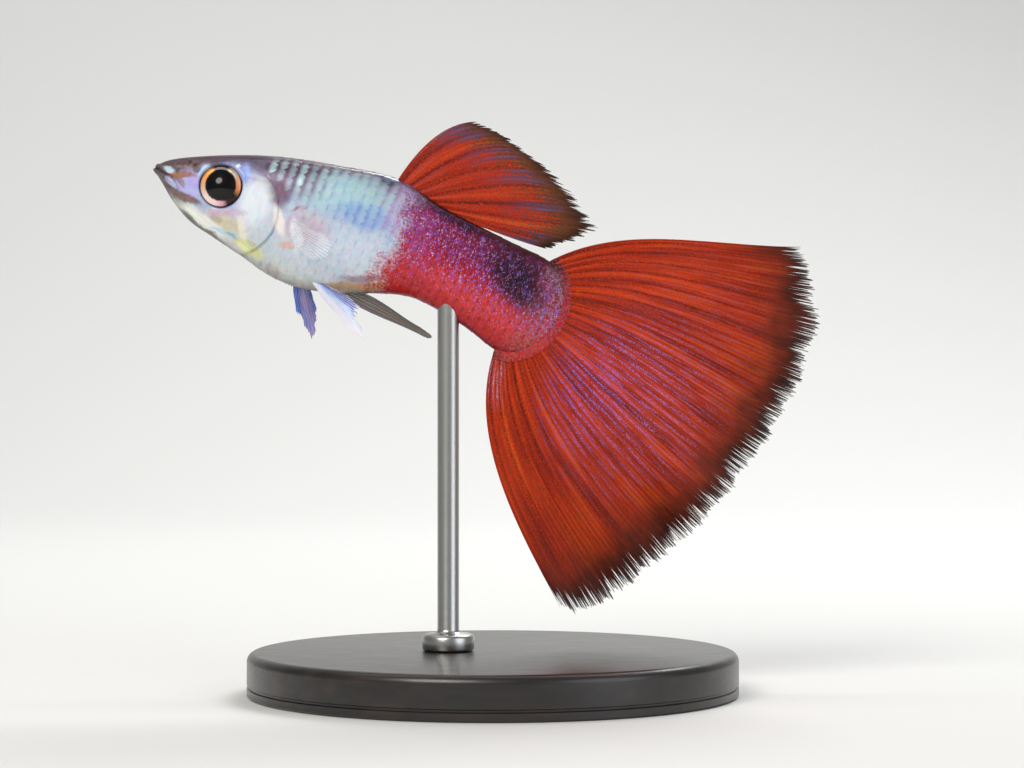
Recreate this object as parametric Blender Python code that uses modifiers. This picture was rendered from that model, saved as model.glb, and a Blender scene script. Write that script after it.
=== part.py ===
"""A life-size fancy guppy, a male Poecilia reticulata with a red delta tail, on a plain display stand.

The fish swims towards -X with its nose tipped up, and its left side faces -Y. Z is up, the unit is the
metre, and the origin is on the floor below the middle of the fish. Tables give millimetres.
"""

import bisect
import math

import bmesh
import bpy
from mathutils import Matrix, Vector

MM = 0.001

# Driving dimensions
STANDARD_LENGTH = 30 * MM  # nose to the end of the scaled tail stem
NOSE_X, NOSE_Z = -23.35 * MM, 36.4 * MM
NOSE_PITCH, STEM_PITCH = math.radians(9.8), math.radians(33.3)  # the body's slope, below the level
GAP = 0.3 * MM  # between neighbouring solids
FIN_THICK = 0.5 * MM  # membrane between the rays
RAY_THICK = 0.82 * MM  # across a ray, ridge to ridge

# The body's curve away from the viewer, which starts above the stand's rod
ROD_X = -3.1 * MM
SWAY_START_Z = 29.3 * MM
SWAY_PER_METRE = 5.5

# The head
EYE_X, EYE_Z = -18.68 * MM, 35.1 * MM
EYE_RADIUS = 1.5 * MM
EYE_SEAT = 1.86 * MM  # the rim's distance from the midline
EYE_YAW, EYE_ROLL = math.radians(8), math.radians(5)
SNOUT_ROUND = 0.08 * MM  # how far the snout's end swells ahead of its first ring
GILL_X, GILL_Z = -17.8 * MM, 33.6 * MM  # the middle of the gill cover's round edge
GILL_RADIUS = 3.05 * MM
GILL_SWELL = 0.16 * MM
MOUTH_FRONT = (-23.35 * MM, 36.46 * MM)
MOUTH_CORNER = (-22.1 * MM, 35.7 * MM)
MOUTH_OPEN = 0.16 * MM
LIP_RADIUS = 0.17 * MM
RIM_RADIUS = 0.2 * MM  # of the skin's ring round an eye
NOSTRILS = ((-20.85 * MM, 36.75 * MM), (-20.45 * MM, 36.55 * MM))
NOSTRIL_RADIUS = 0.14 * MM

# The stand
BASE_RADIUS = 17 * MM
BASE_HEIGHT = 3 * MM
BASE_ROUND = 0.6 * MM
ROD_RADIUS = 0.75 * MM
COLLAR_RADIUS, COLLAR_HEIGHT = 1.8 * MM, 0.9 * MM

WIDE = 12 * MM  # more than any half width of the fish
AROUND = 40  # points round the body
STEM_ROUND = 0.9  # where the stem's rounded end begins, as a share of the standard length


def smooth_through(*knots):
    """A smooth function of one value that passes through the (place, value) knots."""
    places = [place for place, _ in knots]
    values = [value for _, value in knots]
    last = len(knots) - 1
    slopes = []
    for i in range(len(knots)):
        low, high = max(i - 1, 0), min(i + 1, last)
        slopes.append((values[high] - values[low]) / (places[high] - places[low]))

    def value_at(place):
        place = min(max(place, places[0]), places[-1])
        i = min(bisect.bisect_right(places, place) - 1, last - 1)
        width = places[i + 1] - places[i]
        t = (place - places[i]) / width
        ends = values[i] * (1 + 2 * t) * (1 - t) ** 2 + values[i + 1] * t * t * (3 - 2 * t)
        return ends + width * t * (1 - t) * (slopes[i] * (1 - t) - slopes[i + 1] * t)

    return value_at


def smoothstep(low, high, value):
    t = min(max((value - low) / (high - low), 0), 1)
    return t * t * (3 - 2 * t)


# The body's section, in millimetres at shares of the standard length: height of the back and depth of the
# belly from the axis, half width, and the height of the widest line
BACK = smooth_through(
    (0, 0.16), (0.02, 0.68), (0.05, 1.05), (0.1, 1.5), (0.16, 2.0), (0.24, 2.6), (0.32, 3.05), (0.4, 3.43),
    (0.5, 3.95), (0.55, 3.96), (0.65, 3.46), (0.73, 3.4), (0.82, 3.47), (0.9, 3.66), (1, 3.66),
)
BELLY = smooth_through(
    (0, 0.2), (0.02, 0.95), (0.05, 1.97), (0.1, 3.14), (0.16, 3.84), (0.24, 4.62), (0.32, 5.38), (0.4, 5.56),
    (0.5, 4.98), (0.58, 4.05), (0.66, 3.25), (0.73, 3.16), (0.82, 3.34), (0.9, 3.66), (1, 3.66),
)
HALF_WIDTH = smooth_through(
    (0, 0.72), (0.02, 1.02), (0.05, 1.36), (0.1, 1.76), (0.16, 2.08), (0.24, 2.34), (0.34, 2.42), (0.44, 2.3),
    (0.54, 1.95), (0.64, 1.55), (0.74, 1.3), (0.84, 1.1), (0.92, 0.85), (1, 0.4),
)
WIDEST = smooth_through((0, 0), (0.06, 0.1), (0.16, -0.1), (0.3, 0.25), (0.45, 0.3), (0.7, 0), (1, 0))
# How square the section is above and below its widest line: 2 is an ellipse
SQUARE_ABOVE = smooth_through((0, 2.2), (0.1, 2.7), (0.2, 2.6), (0.35, 2.2), (0.6, 2), (1, 2))
SQUARE_BELOW = smooth_through((0, 2.2), (0.1, 1.95), (0.3, 1.9), (0.5, 1.95), (1, 2))


def pitch_at(share):
    return NOSE_PITCH + (STEM_PITCH - NOSE_PITCH) * share


def along_axis(share):
    pitch = pitch_at(share)
    return Vector((math.cos(pitch), 0, -math.sin(pitch)))


def above_axis(share):
    pitch = pitch_at(share)
    return Vector((math.sin(pitch), 0, math.cos(pitch)))


def axis_point(share):
    """The body's axis is an arc, so that its slope grows evenly from nose to stem."""
    radius = STANDARD_LENGTH / (STEM_PITCH - NOSE_PITCH)
    pitch = pitch_at(share)
    x = NOSE_X + radius * (math.sin(pitch) - math.sin(NOSE_PITCH))
    z = NOSE_Z + radius * (math.cos(pitch) - math.cos(NOSE_PITCH))
    return Vector((x, 0, z))


def swayed(point):
    """The point moved sideways by the body's gentle curve."""
    behind = (point.x - ROD_X) * math.cos(STEM_PITCH) - (point.z - SWAY_START_Z) * math.sin(STEM_PITCH)
    return Vector((point.x, point.y + SWAY_PER_METRE * max(behind, 0) ** 2, point.z))


def stem_close(share):
    """1 along the body, falling to 0 as a quarter ellipse over the stem's rounded end."""
    return math.sqrt(max(1 - (max(share - STEM_ROUND, 0) / (1 - STEM_ROUND)) ** 2, 0))


def extents(share, grow):
    """Back height, belly depth, half width and widest height of a section, in metres."""
    close = stem_close(share)
    back = BACK(share) * MM * close + grow
    belly = BELLY(share) * MM * close + grow
    return back, belly, HALF_WIDTH(share) * MM + grow, WIDEST(share) * MM * close


def power(value, exponent):
    return math.copysign(abs(value) ** exponent, value)


def body_point(share, angle, grow=0.0, swell=0.0):
    """A point of the skin. The angle starts at the back and turns towards the left side."""
    back, belly, half, widest = extents(share, grow)
    square = SQUARE_ABOVE(share) if math.cos(angle) > 0 else SQUARE_BELOW(share)
    side = power(math.sin(angle), 2 / square)
    rise = power(math.cos(angle), 2 / square)
    height = widest + rise * ((back - widest) if rise > 0 else (belly + widest))
    place = axis_point(share) + above_axis(share) * height
    out = math.hypot(place.x - GILL_X, place.z - GILL_Z) / GILL_RADIUS
    if place.x > GILL_X - 0.5 * GILL_RADIUS:
        half += swell * smoothstep(0.6, 0.97, out) * smoothstep(0, 0.5, abs(side))
    place.y = -side * half
    return swayed(place)


def section_at(x, z):
    """The share of the body's length, and the height above its axis, of a point of the side view."""
    low, high = 0.0, 1.0
    for _ in range(40):
        share = (low + high) / 2
        ahead = (Vector((x, 0, z)) - axis_point(share)).dot(along_axis(share))
        low, high = (share, high) if ahead > 0 else (low, share)
    return share, (Vector((x, 0, z)) - axis_point(share)).dot(above_axis(share))


def flank_at(x, z):
    """Half the body's width where the side view shows the point (x, z)."""
    share, height = section_at(x, z)
    back, belly, half, widest = extents(share, 0)
    square = SQUARE_ABOVE(share) if height > widest else SQUARE_BELOW(share)
    reach = (back - widest) if height > widest else (belly + widest)
    out = min(abs(height - widest) / reach, 1)
    return half * (1 - out**square) ** (1 / square)


def clear_of_body(point):
    """The point, moved out to the gap outside the skin where it is nearer than that."""
    share, height = section_at(point.x, point.z)
    back, belly, half, widest = extents(share, GAP)
    square = SQUARE_ABOVE(share) if height > widest else SQUARE_BELOW(share)
    reach = (back - widest) if height > widest else (belly + widest)
    out = (abs(point.y) / half) ** square + (abs(height - widest) / reach) ** square
    if out >= 1:
        return point
    grown = out ** (-1 / square)
    moved = axis_point(share) + above_axis(share) * (widest + (height - widest) * grown)
    moved.y = point.y * grown
    return moved


def section_shares():
    """Where the rings stand: close together at the nose and over the stem's rounded end."""
    nose = [0.075 * (i / 7) ** 1.5 for i in range(8)]
    middle = [0.075 + (STEM_ROUND - 0.075) * i / 34 for i in range(1, 35)]
    steps = 7
    end = [STEM_ROUND + (1 - STEM_ROUND) * math.sin(math.radians(80) * i / steps) for i in range(1, steps + 1)]
    return nose + middle + end


def material(name, colour, roughness, metallic=0.0):
    made = bpy.data.materials.new(name)
    made.use_nodes = True
    shader = made.node_tree.nodes["Principled BSDF"]
    shader.inputs["Base Color"].default_value = (*colour, 1)
    shader.inputs["Roughness"].default_value = roughness
    shader.inputs["Metallic"].default_value = metallic
    made.diffuse_color = (*colour, 1)
    return made


def object_from(bm, name, collection, finish=None):
    """Turns the bmesh into an object of the collection."""
    bmesh.ops.recalc_face_normals(bm, faces=bm.faces)
    mesh = bpy.data.meshes.new(name)
    bm.to_mesh(mesh)
    bm.free()
    if finish:
        mesh.materials.append(finish)
    made = bpy.data.objects.new(name, mesh)
    collection.objects.link(made)
    return made


def body_mesh(grow=0.0, swell=0.0):
    """The whole body as one closed loft of rings."""
    bm = bmesh.new()
    rings = []
    front = axis_point(0) - along_axis(0) * SNOUT_ROUND
    for share in (0, *section_shares()):
        angles = (2 * math.pi * i / AROUND for i in range(AROUND))
        ring = [body_point(share, angle, grow, swell) for angle in angles]
        if not rings:
            ring = [front.lerp(point, 0.7) - along_axis(0) * SNOUT_ROUND * 0.4 for point in ring]
        rings.append([bm.verts.new(point) for point in ring])
    for fore, aft in zip(rings, rings[1:]):
        for i in range(AROUND):
            j = (i + 1) % AROUND
            bm.faces.new((fore[i], fore[j], aft[j], aft[i]))
    bm.faces.new(rings[0])
    bm.faces.new(rings[-1])
    bmesh.ops.triangulate(bm, faces=bm.faces)
    return bm


def cutter(bm, name, cutters):
    made = object_from(bm, name, cutters)
    made.hide_render = True
    made.display_type = "WIRE"
    return made


def slab(name, outline, half_width, cutters):
    """A cutter with the (x, z) outline, extruded sideways."""
    bm = bmesh.new()
    face = bm.faces.new([bm.verts.new((x, -half_width, z)) for x, z in outline])
    pushed = bmesh.ops.extrude_face_region(bm, geom=[face])["geom"]
    moved = [v for v in pushed if isinstance(v, bmesh.types.BMVert)]
    bmesh.ops.translate(bm, vec=(0, 2 * half_width, 0), verts=moved)
    return cutter(bm, name, cutters)


def apply_modifiers(target):
    graph = bpy.context.evaluated_depsgraph_get()
    made = bpy.data.meshes.new_from_object(target.evaluated_get(graph))
    target.modifiers.clear()
    target.data = made


def open_edges(mesh):
    bm = bmesh.new()
    bm.from_mesh(mesh)
    count = sum(not edge.is_manifold for edge in bm.edges)
    bm.free()
    return count


def boolean(target, tool, operation):
    """Cuts or joins at once, by the exact solver, or by the manifold one where that leaves an open mesh."""
    for solver in ("EXACT", "MANIFOLD"):
        modifier = target.modifiers.new(operation.lower(), "BOOLEAN")
        modifier.operation = operation
        modifier.object = tool
        modifier.solver = solver
        graph = bpy.context.evaluated_depsgraph_get()
        result = bpy.data.meshes.new_from_object(target.evaluated_get(graph))
        target.modifiers.remove(modifier)
        if len(result.polygons) > 0 and open_edges(result) == 0:
            break
    target.modifiers.clear()
    target.data = result


def gill_line(radius):
    """The gill cover's edge in the side view, from above the back to below the throat."""
    first, last, steps = math.radians(58), math.radians(-82), 14
    points = []
    for i in range(steps + 1):
        turn = first + (last - first) * i / steps
        points.append((GILL_X + radius * math.cos(turn), GILL_Z + radius * math.sin(turn)))
    above = (points[0][0] + 0.1 * MM, GILL_Z + 2 * GILL_RADIUS)
    below = (points[-1][0], GILL_Z - 2 * GILL_RADIUS)
    return [above, *points, below]


def stem_line(share):
    """A straight cut across the body at this share of its length."""
    middle, up = axis_point(share), above_axis(share) * WIDE
    return [(middle.x + up.x, middle.z + up.z), (middle.x - up.x, middle.z - up.z)]


def cut_piece(name, bm, outline, finish, fish, cutters):
    """The part of the body inside the side-view outline."""
    piece = object_from(bm, name, fish, finish)
    boolean(piece, slab(f"{name}_region", outline, WIDE, cutters), "INTERSECT")
    piece.data.shade_smooth()
    piece.data.set_sharp_from_angle(angle=math.radians(40))
    return piece


def make_eye(name, side, finish, fish):
    """A turned eyeball: rounded behind, with a flat iris ring and a domed pupil in front."""
    profile = (
        (0, 0.52), (0.45, 0.47), (0.82, 0.34), (1.0, 0.24), (1.04, 0.16), (1.3, 0.12), (1.45, 0.02), (1.5, -0.1),
        (1.4, -0.45), (1.05, -0.82), (0.55, -1.02), (0, -1.08),
    )
    mesh = bpy.data.meshes.new(name)
    points = [(r * MM, 0, z * MM) for r, z in profile]
    mesh.from_pydata(points, [(i, i + 1) for i in range(len(points) - 1)], [])
    mesh.materials.append(finish)
    eye = bpy.data.objects.new(name, mesh)
    fish.objects.link(eye)
    screw = eye.modifiers.new("turn", "SCREW")
    screw.axis = "Z"
    screw.steps = screw.render_steps = 28
    screw.use_merge_vertices = True
    screw.merge_threshold = 0.00001
    screw.use_smooth_shade = True
    eye.matrix_world = eye_frame(side)
    return eye


def eye_frame(side):
    """The eye's place, with local Z pointing out of the head. Side is -1 on the left, +1 on the right."""
    turn = Matrix.Rotation(side * (-math.pi / 2 + EYE_ROLL), 4, "X")
    yaw = Matrix.Rotation(side * EYE_YAW, 4, "Z")
    return Matrix.Translation((EYE_X, side * EYE_SEAT, EYE_Z)) @ yaw @ turn


def socket(side, cutters):
    """The hollow that holds an eye, larger than it by the gap."""
    bm = bmesh.new()
    bmesh.ops.create_uvsphere(bm, u_segments=28, v_segments=14, radius=1)
    size = (EYE_RADIUS + GAP, EYE_RADIUS + GAP, 1.08 * MM + GAP)
    bmesh.ops.transform(bm, matrix=eye_frame(side) @ Matrix.Diagonal((*size, 1)), verts=bm.verts)
    return cutter(bm, f"socket_{side:+d}", cutters)


def tube(name, points, radii, closed=False):
    """A closed mesh tube along the points, with a radius at each."""
    curve = bpy.data.curves.new(name, "CURVE")
    curve.dimensions = "3D"
    curve.bevel_depth = 1
    curve.bevel_resolution = 1 if closed else 2
    curve.use_fill_caps = not closed
    spline = curve.splines.new("POLY")
    spline.use_cyclic_u = closed
    spline.points.add(len(points) - 1)
    for spot, point, radius in zip(spline.points, points, radii):
        spot.co = (*point, 1)
        spot.radius = radius
    drawn = bpy.data.objects.new(name, curve)
    bpy.context.scene.collection.objects.link(drawn)
    graph = bpy.context.evaluated_depsgraph_get()
    bm = bmesh.new()
    bm.from_mesh(bpy.data.meshes.new_from_object(drawn.evaluated_get(graph)))
    bmesh.ops.remove_doubles(bm, verts=bm.verts, dist=0.000001)
    bpy.data.objects.remove(drawn)
    return object_from(bm, name, bpy.context.scene.collection)


def orbit_rim(side):
    """The low ring of skin round an eye, which follows the flank."""
    points, steps = [], 26
    reach = EYE_RADIUS + GAP + 0.5 * RIM_RADIUS
    for i in range(steps):
        turn = 2 * math.pi * i / steps
        x, z = EYE_X + reach * math.cos(turn), EYE_Z + reach * math.sin(turn)
        points.append(Vector((x, side * (flank_at(x, z) - 0.35 * RIM_RADIUS), z)))
    return tube("orbit_rim", points, [RIM_RADIUS] * steps, closed=True)


def mouth_point(share, side):
    """A point of the mouth's line: 0 at its front, 1 at the corner, sunk a little into that side's skin."""
    x = MOUTH_FRONT[0] + (MOUTH_CORNER[0] - MOUTH_FRONT[0]) * share
    z = MOUTH_FRONT[1] + (MOUTH_CORNER[1] - MOUTH_FRONT[1]) * share
    return Vector((x, side * (flank_at(x, z) - 0.3 * LIP_RADIUS), z))


def lip(raised):
    """A lip: a tube along the mouth's line, from one corner round the front to the other."""
    slope = Vector((MOUTH_CORNER[0] - MOUTH_FRONT[0], 0, MOUTH_CORNER[1] - MOUTH_FRONT[1])).normalized()
    off_line = Vector((-slope.z, 0, slope.x)) * raised
    shares = (1.08, 0.94, 0.8, 0.66, 0.52, 0.4)
    left = [mouth_point(share, -1) for share in shares]
    right = [mouth_point(share, 1) for share in reversed(shares)]
    front, side = [], left[-1]
    for aside in (0.86, 0.68, 0.46, 0.23, 0, -0.23, -0.46, -0.68, -0.86):
        round_off = 1 - math.sqrt(1 - aside**2)
        x = NOSE_X + 0.3 * SNOUT_ROUND + (side.x - NOSE_X) * round_off
        z = MOUTH_FRONT[1] + (side.z - MOUTH_FRONT[1]) * round_off
        front.append(Vector((x, aside * side.y, z)))
    line = [*left, *front, *right]
    fullness = [0.3 + 0.7 * math.sin(math.pi * i / (len(line) - 1)) ** 0.5 for i in range(len(line))]
    points = [point + off_line * full for point, full in zip(line, fullness)]
    return tube("lip", points, [LIP_RADIUS * full for full in fullness])


def mouth_slit(cutters):
    """A thin wedge between the lips, widest at the front."""
    slope = Vector((MOUTH_CORNER[0] - MOUTH_FRONT[0], 0, MOUTH_CORNER[1] - MOUTH_FRONT[1]))
    front = Vector((MOUTH_FRONT[0], 0, MOUTH_FRONT[1])) - slope * 0.5
    back = front + slope * 1.55
    off_line = Vector((-slope.z, 0, slope.x)).normalized()
    outline = []
    for point, half in ((front, MOUTH_OPEN * 0.6), (back, MOUTH_OPEN * 0.25)):
        outline.append(point + off_line * half)
        outline.insert(0, point - off_line * half)
    return slab("mouth_slit", [(p.x, p.z) for p in outline], WIDE, cutters)


def nostril(x, z, side, cutters):
    bm = bmesh.new()
    bmesh.ops.create_icosphere(bm, subdivisions=2, radius=NOSTRIL_RADIUS)
    bmesh.ops.translate(bm, vec=(x, side * flank_at(x, z), z), verts=bm.verts)
    return cutter(bm, "nostril", cutters)


def make_head(finish, fish, cutters):
    """The head back to the gill covers' free edge, with lips, mouth, nostrils and eye sockets."""
    far = (NOSE_X - WIDE, GILL_Z)
    outline = [(far[0], far[1] + 2 * GILL_RADIUS), *gill_line(GILL_RADIUS), (far[0], far[1] - 2 * GILL_RADIUS)]
    head = cut_piece("head", body_mesh(swell=GILL_SWELL), outline, finish, fish, cutters)
    for raised in (lip(LIP_RADIUS * 0.8), lip(-LIP_RADIUS * 0.8), orbit_rim(-1), orbit_rim(1)):
        boolean(head, raised, "UNION")
        bpy.data.objects.remove(raised)
    for side in (-1, 1):
        boolean(head, socket(side, cutters), "DIFFERENCE")
        for x, z in NOSTRILS:
            boolean(head, nostril(x, z, side, cutters), "DIFFERENCE")
    boolean(head, mouth_slit(cutters), "DIFFERENCE")
    keep_largest(head)
    head.data.shade_smooth()
    head.data.set_sharp_from_angle(angle=math.radians(40))
    return head


STEM_CUT = 0.68  # where the tail stem begins, as a share of the standard length


def make_trunk(finish, fish, cutters):
    """The trunk, from behind the gill covers to the tail stem."""
    half_gap = GAP / STANDARD_LENGTH / 2
    outline = [*gill_line(GILL_RADIUS + GAP), *reversed(stem_line(STEM_CUT - half_gap))]
    return cut_piece("trunk", body_mesh(), outline, finish, fish, cutters)


def make_stem(finish, fish, cutters):
    """The tail stem, with its rounded end."""
    half_gap = GAP / STANDARD_LENGTH / 2
    top, bottom = stem_line(STEM_CUT + half_gap)
    beyond = axis_point(1) + along_axis(1) * WIDE
    outline = [top, bottom, (beyond.x, bottom[1]), (beyond.x, top[1])]
    return cut_piece("tail_stem", body_mesh(), outline, finish, fish, cutters)


def direction(pitch_degrees):
    """A side-view direction, by its slope below the level of the tail side."""
    pitch = math.radians(pitch_degrees)
    return Vector((math.cos(pitch), 0, -math.sin(pitch)))


def ray_point(fin, u, v):
    """A point on a fin's middle surface: u from its front ray to its last, v from root to tip."""
    root, tip = fin["root"](u), fin["tip"](u)
    reach = (tip - root).length
    first = root + direction(fin["leaves"](u)) * reach * fin.get("pull", 0.34)
    second = tip - direction(fin["ends"](u)) * reach * 0.34
    w = 1 - v
    point = root * w**3 + first * 3 * w * w * v + second * 3 * w * v * v + tip * v**3
    point.y += fin["lateral"](u, v)
    return swayed(point)


NO_FORK = 2  # a fork past the tip, for small fins


def ridge_at(fin, u, v):
    """1 on a ray, 0 midway between two. Past its fork a ray is two ridges."""
    phase = (u * (fin["rays"] - 1) + 0.5) % 1
    single = max(1 - abs(phase - 0.5) * 3, 0)
    forked = max(1 - abs(abs(phase - 0.5) - 0.25) * 5, 0)
    fork = smoothstep(fin["fork"] - 0.12, fin["fork"] + 0.12, v)
    return single * (1 - fork) + forked * fork


def make_fin(name, fin, finish, fish):
    """A membrane with its rays raised on both faces, as one closed sheet of varying thickness."""
    columns = (fin["rays"] - 1) * fin["split"]
    bm = bmesh.new()
    bmesh.ops.create_grid(bm, x_segments=columns, y_segments=fin["rows"], size=0.5)
    thickness = {}
    for vert in sorted(bm.verts, key=lambda v: v.index):
        u, v = min(max(vert.co.x + 0.5, 0), 1), min(max(vert.co.y + 0.5, 0), 1)
        ridge = ridge_at(fin, u, v)
        short = fin["notch"] * (1 - ridge_at(fin, u, 1)) * v**3
        vert.co = ray_point(fin, u, v * (1 - short))
        taper = 1 - 0.6 * smoothstep(0.72, 1, v)
        thickness[vert.index] = (FIN_THICK + (RAY_THICK - FIN_THICK) * ridge) * taper
    bmesh.ops.triangulate(bm, faces=bm.faces, quad_method="FIXED")
    sheet = object_from(bm, name, fish, finish)
    group = sheet.vertex_groups.new(name="thickness")
    for index, thick in thickness.items():
        group.add([index], thick / RAY_THICK, "REPLACE")
    solidify = sheet.modifiers.new("thickness", "SOLIDIFY")
    solidify.thickness = RAY_THICK
    solidify.offset = 0
    solidify.vertex_group = group.name
    apply_modifiers(sheet)
    if fin["paired"]:
        for vert in sheet.data.vertices:
            vert.co = clear_of_body(vert.co)
    sheet.data.shade_smooth()
    return sheet


def root_on_body(first, last, side):
    """A root line on the skin, between two side-view points given in millimetres."""
    def root(u):
        x = first[0] + (last[0] - first[0]) * u
        z = first[1] + (last[1] - first[1]) * u
        return Vector((x * MM, side * flank_at(x * MM, z * MM), z * MM))
    return root


def fan_tip(root, reach, pitch, splay, side):
    """Tips at a length and slope that change along the fin, splayed away from the midline."""
    def tip(u):
        heading = direction(pitch(u)) * math.cos(splay)
        heading.y = side * math.sin(splay)
        return root(0.5) + heading * reach(u) * MM
    return tip


def constant(value):
    return lambda *_: value


def tail_fin():
    """The delta tail: its rays leave the stem's rounded end, then bend towards a wide triangle."""
    centre, onward, up = axis_point(STEM_ROUND), along_axis(STEM_ROUND), above_axis(STEM_ROUND)
    slope = math.degrees(pitch_at(STEM_ROUND))
    depth = BACK(STEM_ROUND) * MM + GAP
    length = (1 - STEM_ROUND) * STANDARD_LENGTH + GAP
    reach = smooth_through(
        (0, 20.3), (0.05, 21.4), (0.12, 21.6), (0.25, 21.2), (0.4, 20.5), (0.55, 20.3), (0.7, 20.7), (0.82, 21.4),
        (0.92, 22.3), (0.97, 22.6), (1, 22.2),
    )

    def root(u):
        turn = math.radians(88 - 176 * u)
        return centre + onward * length * math.cos(turn) + up * depth * math.sin(turn)

    def tip(u):
        turn = math.radians(42.5 - 93 * u)
        return centre + (onward * math.cos(turn) + up * math.sin(turn)) * reach(u) * MM

    def ripple(u, v):
        folds = math.sin(2 * math.pi * (2.6 * u + 0.15)) * 0.55 + math.sin(2 * math.pi * (5.3 * u + 0.4)) * 0.25
        return (folds * v**1.5 - 0.5 * (1 - u) * math.sin(math.pi * min(v * 1.6, 1))) * MM

    return {
        "root": root,
        "tip": tip,
        "leaves": smooth_through((0, slope - 60), (0.5, slope), (1, slope + 80)),
        "ends": smooth_through((0, slope - 32), (0.5, slope + 3), (1, slope + 31)),
        "lateral": ripple,
        "rays": 22,
        "split": 4,
        "rows": 13,
        "fork": 0.42,
        "paired": False,
        "notch": 0.035,
    }


DORSAL_FROM, DORSAL_TO = 0.53, 0.66  # the back fin's root, as shares of the standard length


def dorsal_fin():
    """The back fin: a short root, and long rays that sweep back over the tail stem."""
    origin = axis_point(DORSAL_FROM) + above_axis(DORSAL_FROM) * BACK(DORSAL_FROM) * MM
    tip_x = smooth_through(
        (0, 6.2), (0.14, 8.6), (0.28, 10.5), (0.42, 12.0), (0.57, 13.4), (0.71, 14.3), (0.85, 14.0), (1, 11.0),
    )
    tip_z = smooth_through(
        (0, 4.0), (0.14, 2.45), (0.28, 0.95), (0.42, -0.65), (0.57, -1.85), (0.71, -3.0), (0.85, -4.1), (1, -5.0),
    )

    def root(u):
        share = DORSAL_FROM + (DORSAL_TO - DORSAL_FROM) * u
        return axis_point(share) + above_axis(share) * (BACK(share) * MM + GAP)

    def tip(u):
        return origin + Vector((tip_x(u) * MM, 0, tip_z(u) * MM))

    def lean(u, v):
        return (1.3 * v**1.6 + 0.25 * math.sin(2 * math.pi * 1.8 * u) * v * v) * MM

    return {
        "root": root,
        "tip": tip,
        "leaves": smooth_through((0, -58), (0.3, -30), (0.65, 2), (1, 22)),
        "ends": smooth_through((0, 8), (0.3, 28), (0.7, 12), (1, 14)),
        "lateral": lean,
        "rays": 8,
        "split": 4,
        "rows": 10,
        "fork": 0.45,
        "paired": False,
        "notch": 0.07,
        "pull": 0.42,
    }


def pectoral_fin(side, reach, pitch, splay):
    """A breast fin: a round fan set just behind the gill cover."""
    root = root_on_body((-13.75, 32.7), (-13.9, 31.3), side)
    return {
        "root": root,
        "tip": fan_tip(root, reach, pitch, math.radians(splay), side),
        "leaves": pitch,
        "ends": pitch,
        "lateral": lambda u, v: side * 0.35 * MM * math.sin(math.pi * v),
        "rays": 7,
        "split": 2,
        "rows": 6,
        "fork": NO_FORK,
        "paired": True,
        "notch": 0.05,
    }


def pelvic_fin(side, first, last, reach, pitch, splay):
    """A belly fin, with one ray drawn out to a point."""
    root = root_on_body(first, last, side)
    return {
        "root": root,
        "tip": fan_tip(root, reach, pitch, math.radians(splay), side),
        "leaves": pitch,
        "ends": pitch,
        "lateral": lambda u, v: side * 0.15 * MM * math.sin(math.pi * v),
        "rays": 5,
        "split": 2,
        "rows": 7,
        "fork": NO_FORK,
        "paired": True,
        "notch": 0.12,
    }


ANAL_FROM, ANAL_TO = 0.49, 0.54  # the anal fin's root, as shares of the standard length


def anal_fin():
    """The male's anal fin, a slim pointed organ of a few long rays laid back under the belly."""
    reach = smooth_through((0, 6.9), (0.35, 6.5), (0.7, 6.0), (1, 5.2))

    def root(u):
        share = ANAL_TO + (ANAL_FROM - ANAL_TO) * (1 - u)
        return axis_point(share) - above_axis(share) * (BELLY(share) * MM + GAP)

    def tip(u):
        return root(0.5) + direction(25.5 - 5 * u) * reach(u) * MM

    return {
        "root": root,
        "tip": tip,
        "leaves": smooth_through((0, 42), (1, 14)),
        "ends": smooth_through((0, 30), (1, 26)),
        "lateral": constant(0),
        "rays": 4,
        "split": 2,
        "rows": 8,
        "fork": NO_FORK,
        "paired": False,
        "notch": 0.03,
    }


def keep_largest(target):
    bm = bmesh.new()
    bm.from_mesh(target.data)
    left = set(bm.verts)
    islands = []
    while left:
        stack, island = [left.pop()], set()
        while stack:
            vert = stack.pop()
            island.add(vert)
            for edge in vert.link_edges:
                other = edge.other_vert(vert)
                if other in left:
                    left.discard(other)
                    stack.append(other)
        islands.append(island)
    largest = max(islands, key=len)
    bmesh.ops.delete(bm, geom=[v for v in bm.verts if v not in largest], context="VERTS")
    bm.to_mesh(target.data)
    bm.free()


def make_stand(base_finish, rod_finish, stand, grown):
    """A round flat base, and a slim rod with a collar up to the belly."""
    profile = [
        (0, BASE_HEIGHT), (BASE_RADIUS - BASE_ROUND, BASE_HEIGHT),
        (BASE_RADIUS - BASE_ROUND * 0.3, BASE_HEIGHT - BASE_ROUND * 0.3),
        (BASE_RADIUS, BASE_HEIGHT - BASE_ROUND), (BASE_RADIUS, 0), (0, 0),
    ]
    base = turned("stand_base", profile, 64, base_finish, stand)
    foot = BASE_HEIGHT + GAP
    top = axis_point(0.64).z
    profile = [
        (0, top), (ROD_RADIUS, top), (ROD_RADIUS, foot + COLLAR_HEIGHT), (COLLAR_RADIUS * 0.8, foot + COLLAR_HEIGHT),
        (COLLAR_RADIUS, foot + COLLAR_HEIGHT * 0.7), (COLLAR_RADIUS, foot), (0, foot),
    ]
    rod = turned("stand_rod", profile, 24, rod_finish, stand)
    rod.location.x = ROD_X
    bpy.context.view_layer.update()
    boolean(rod, grown, "DIFFERENCE")
    keep_largest(rod)
    return base, rod


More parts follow.
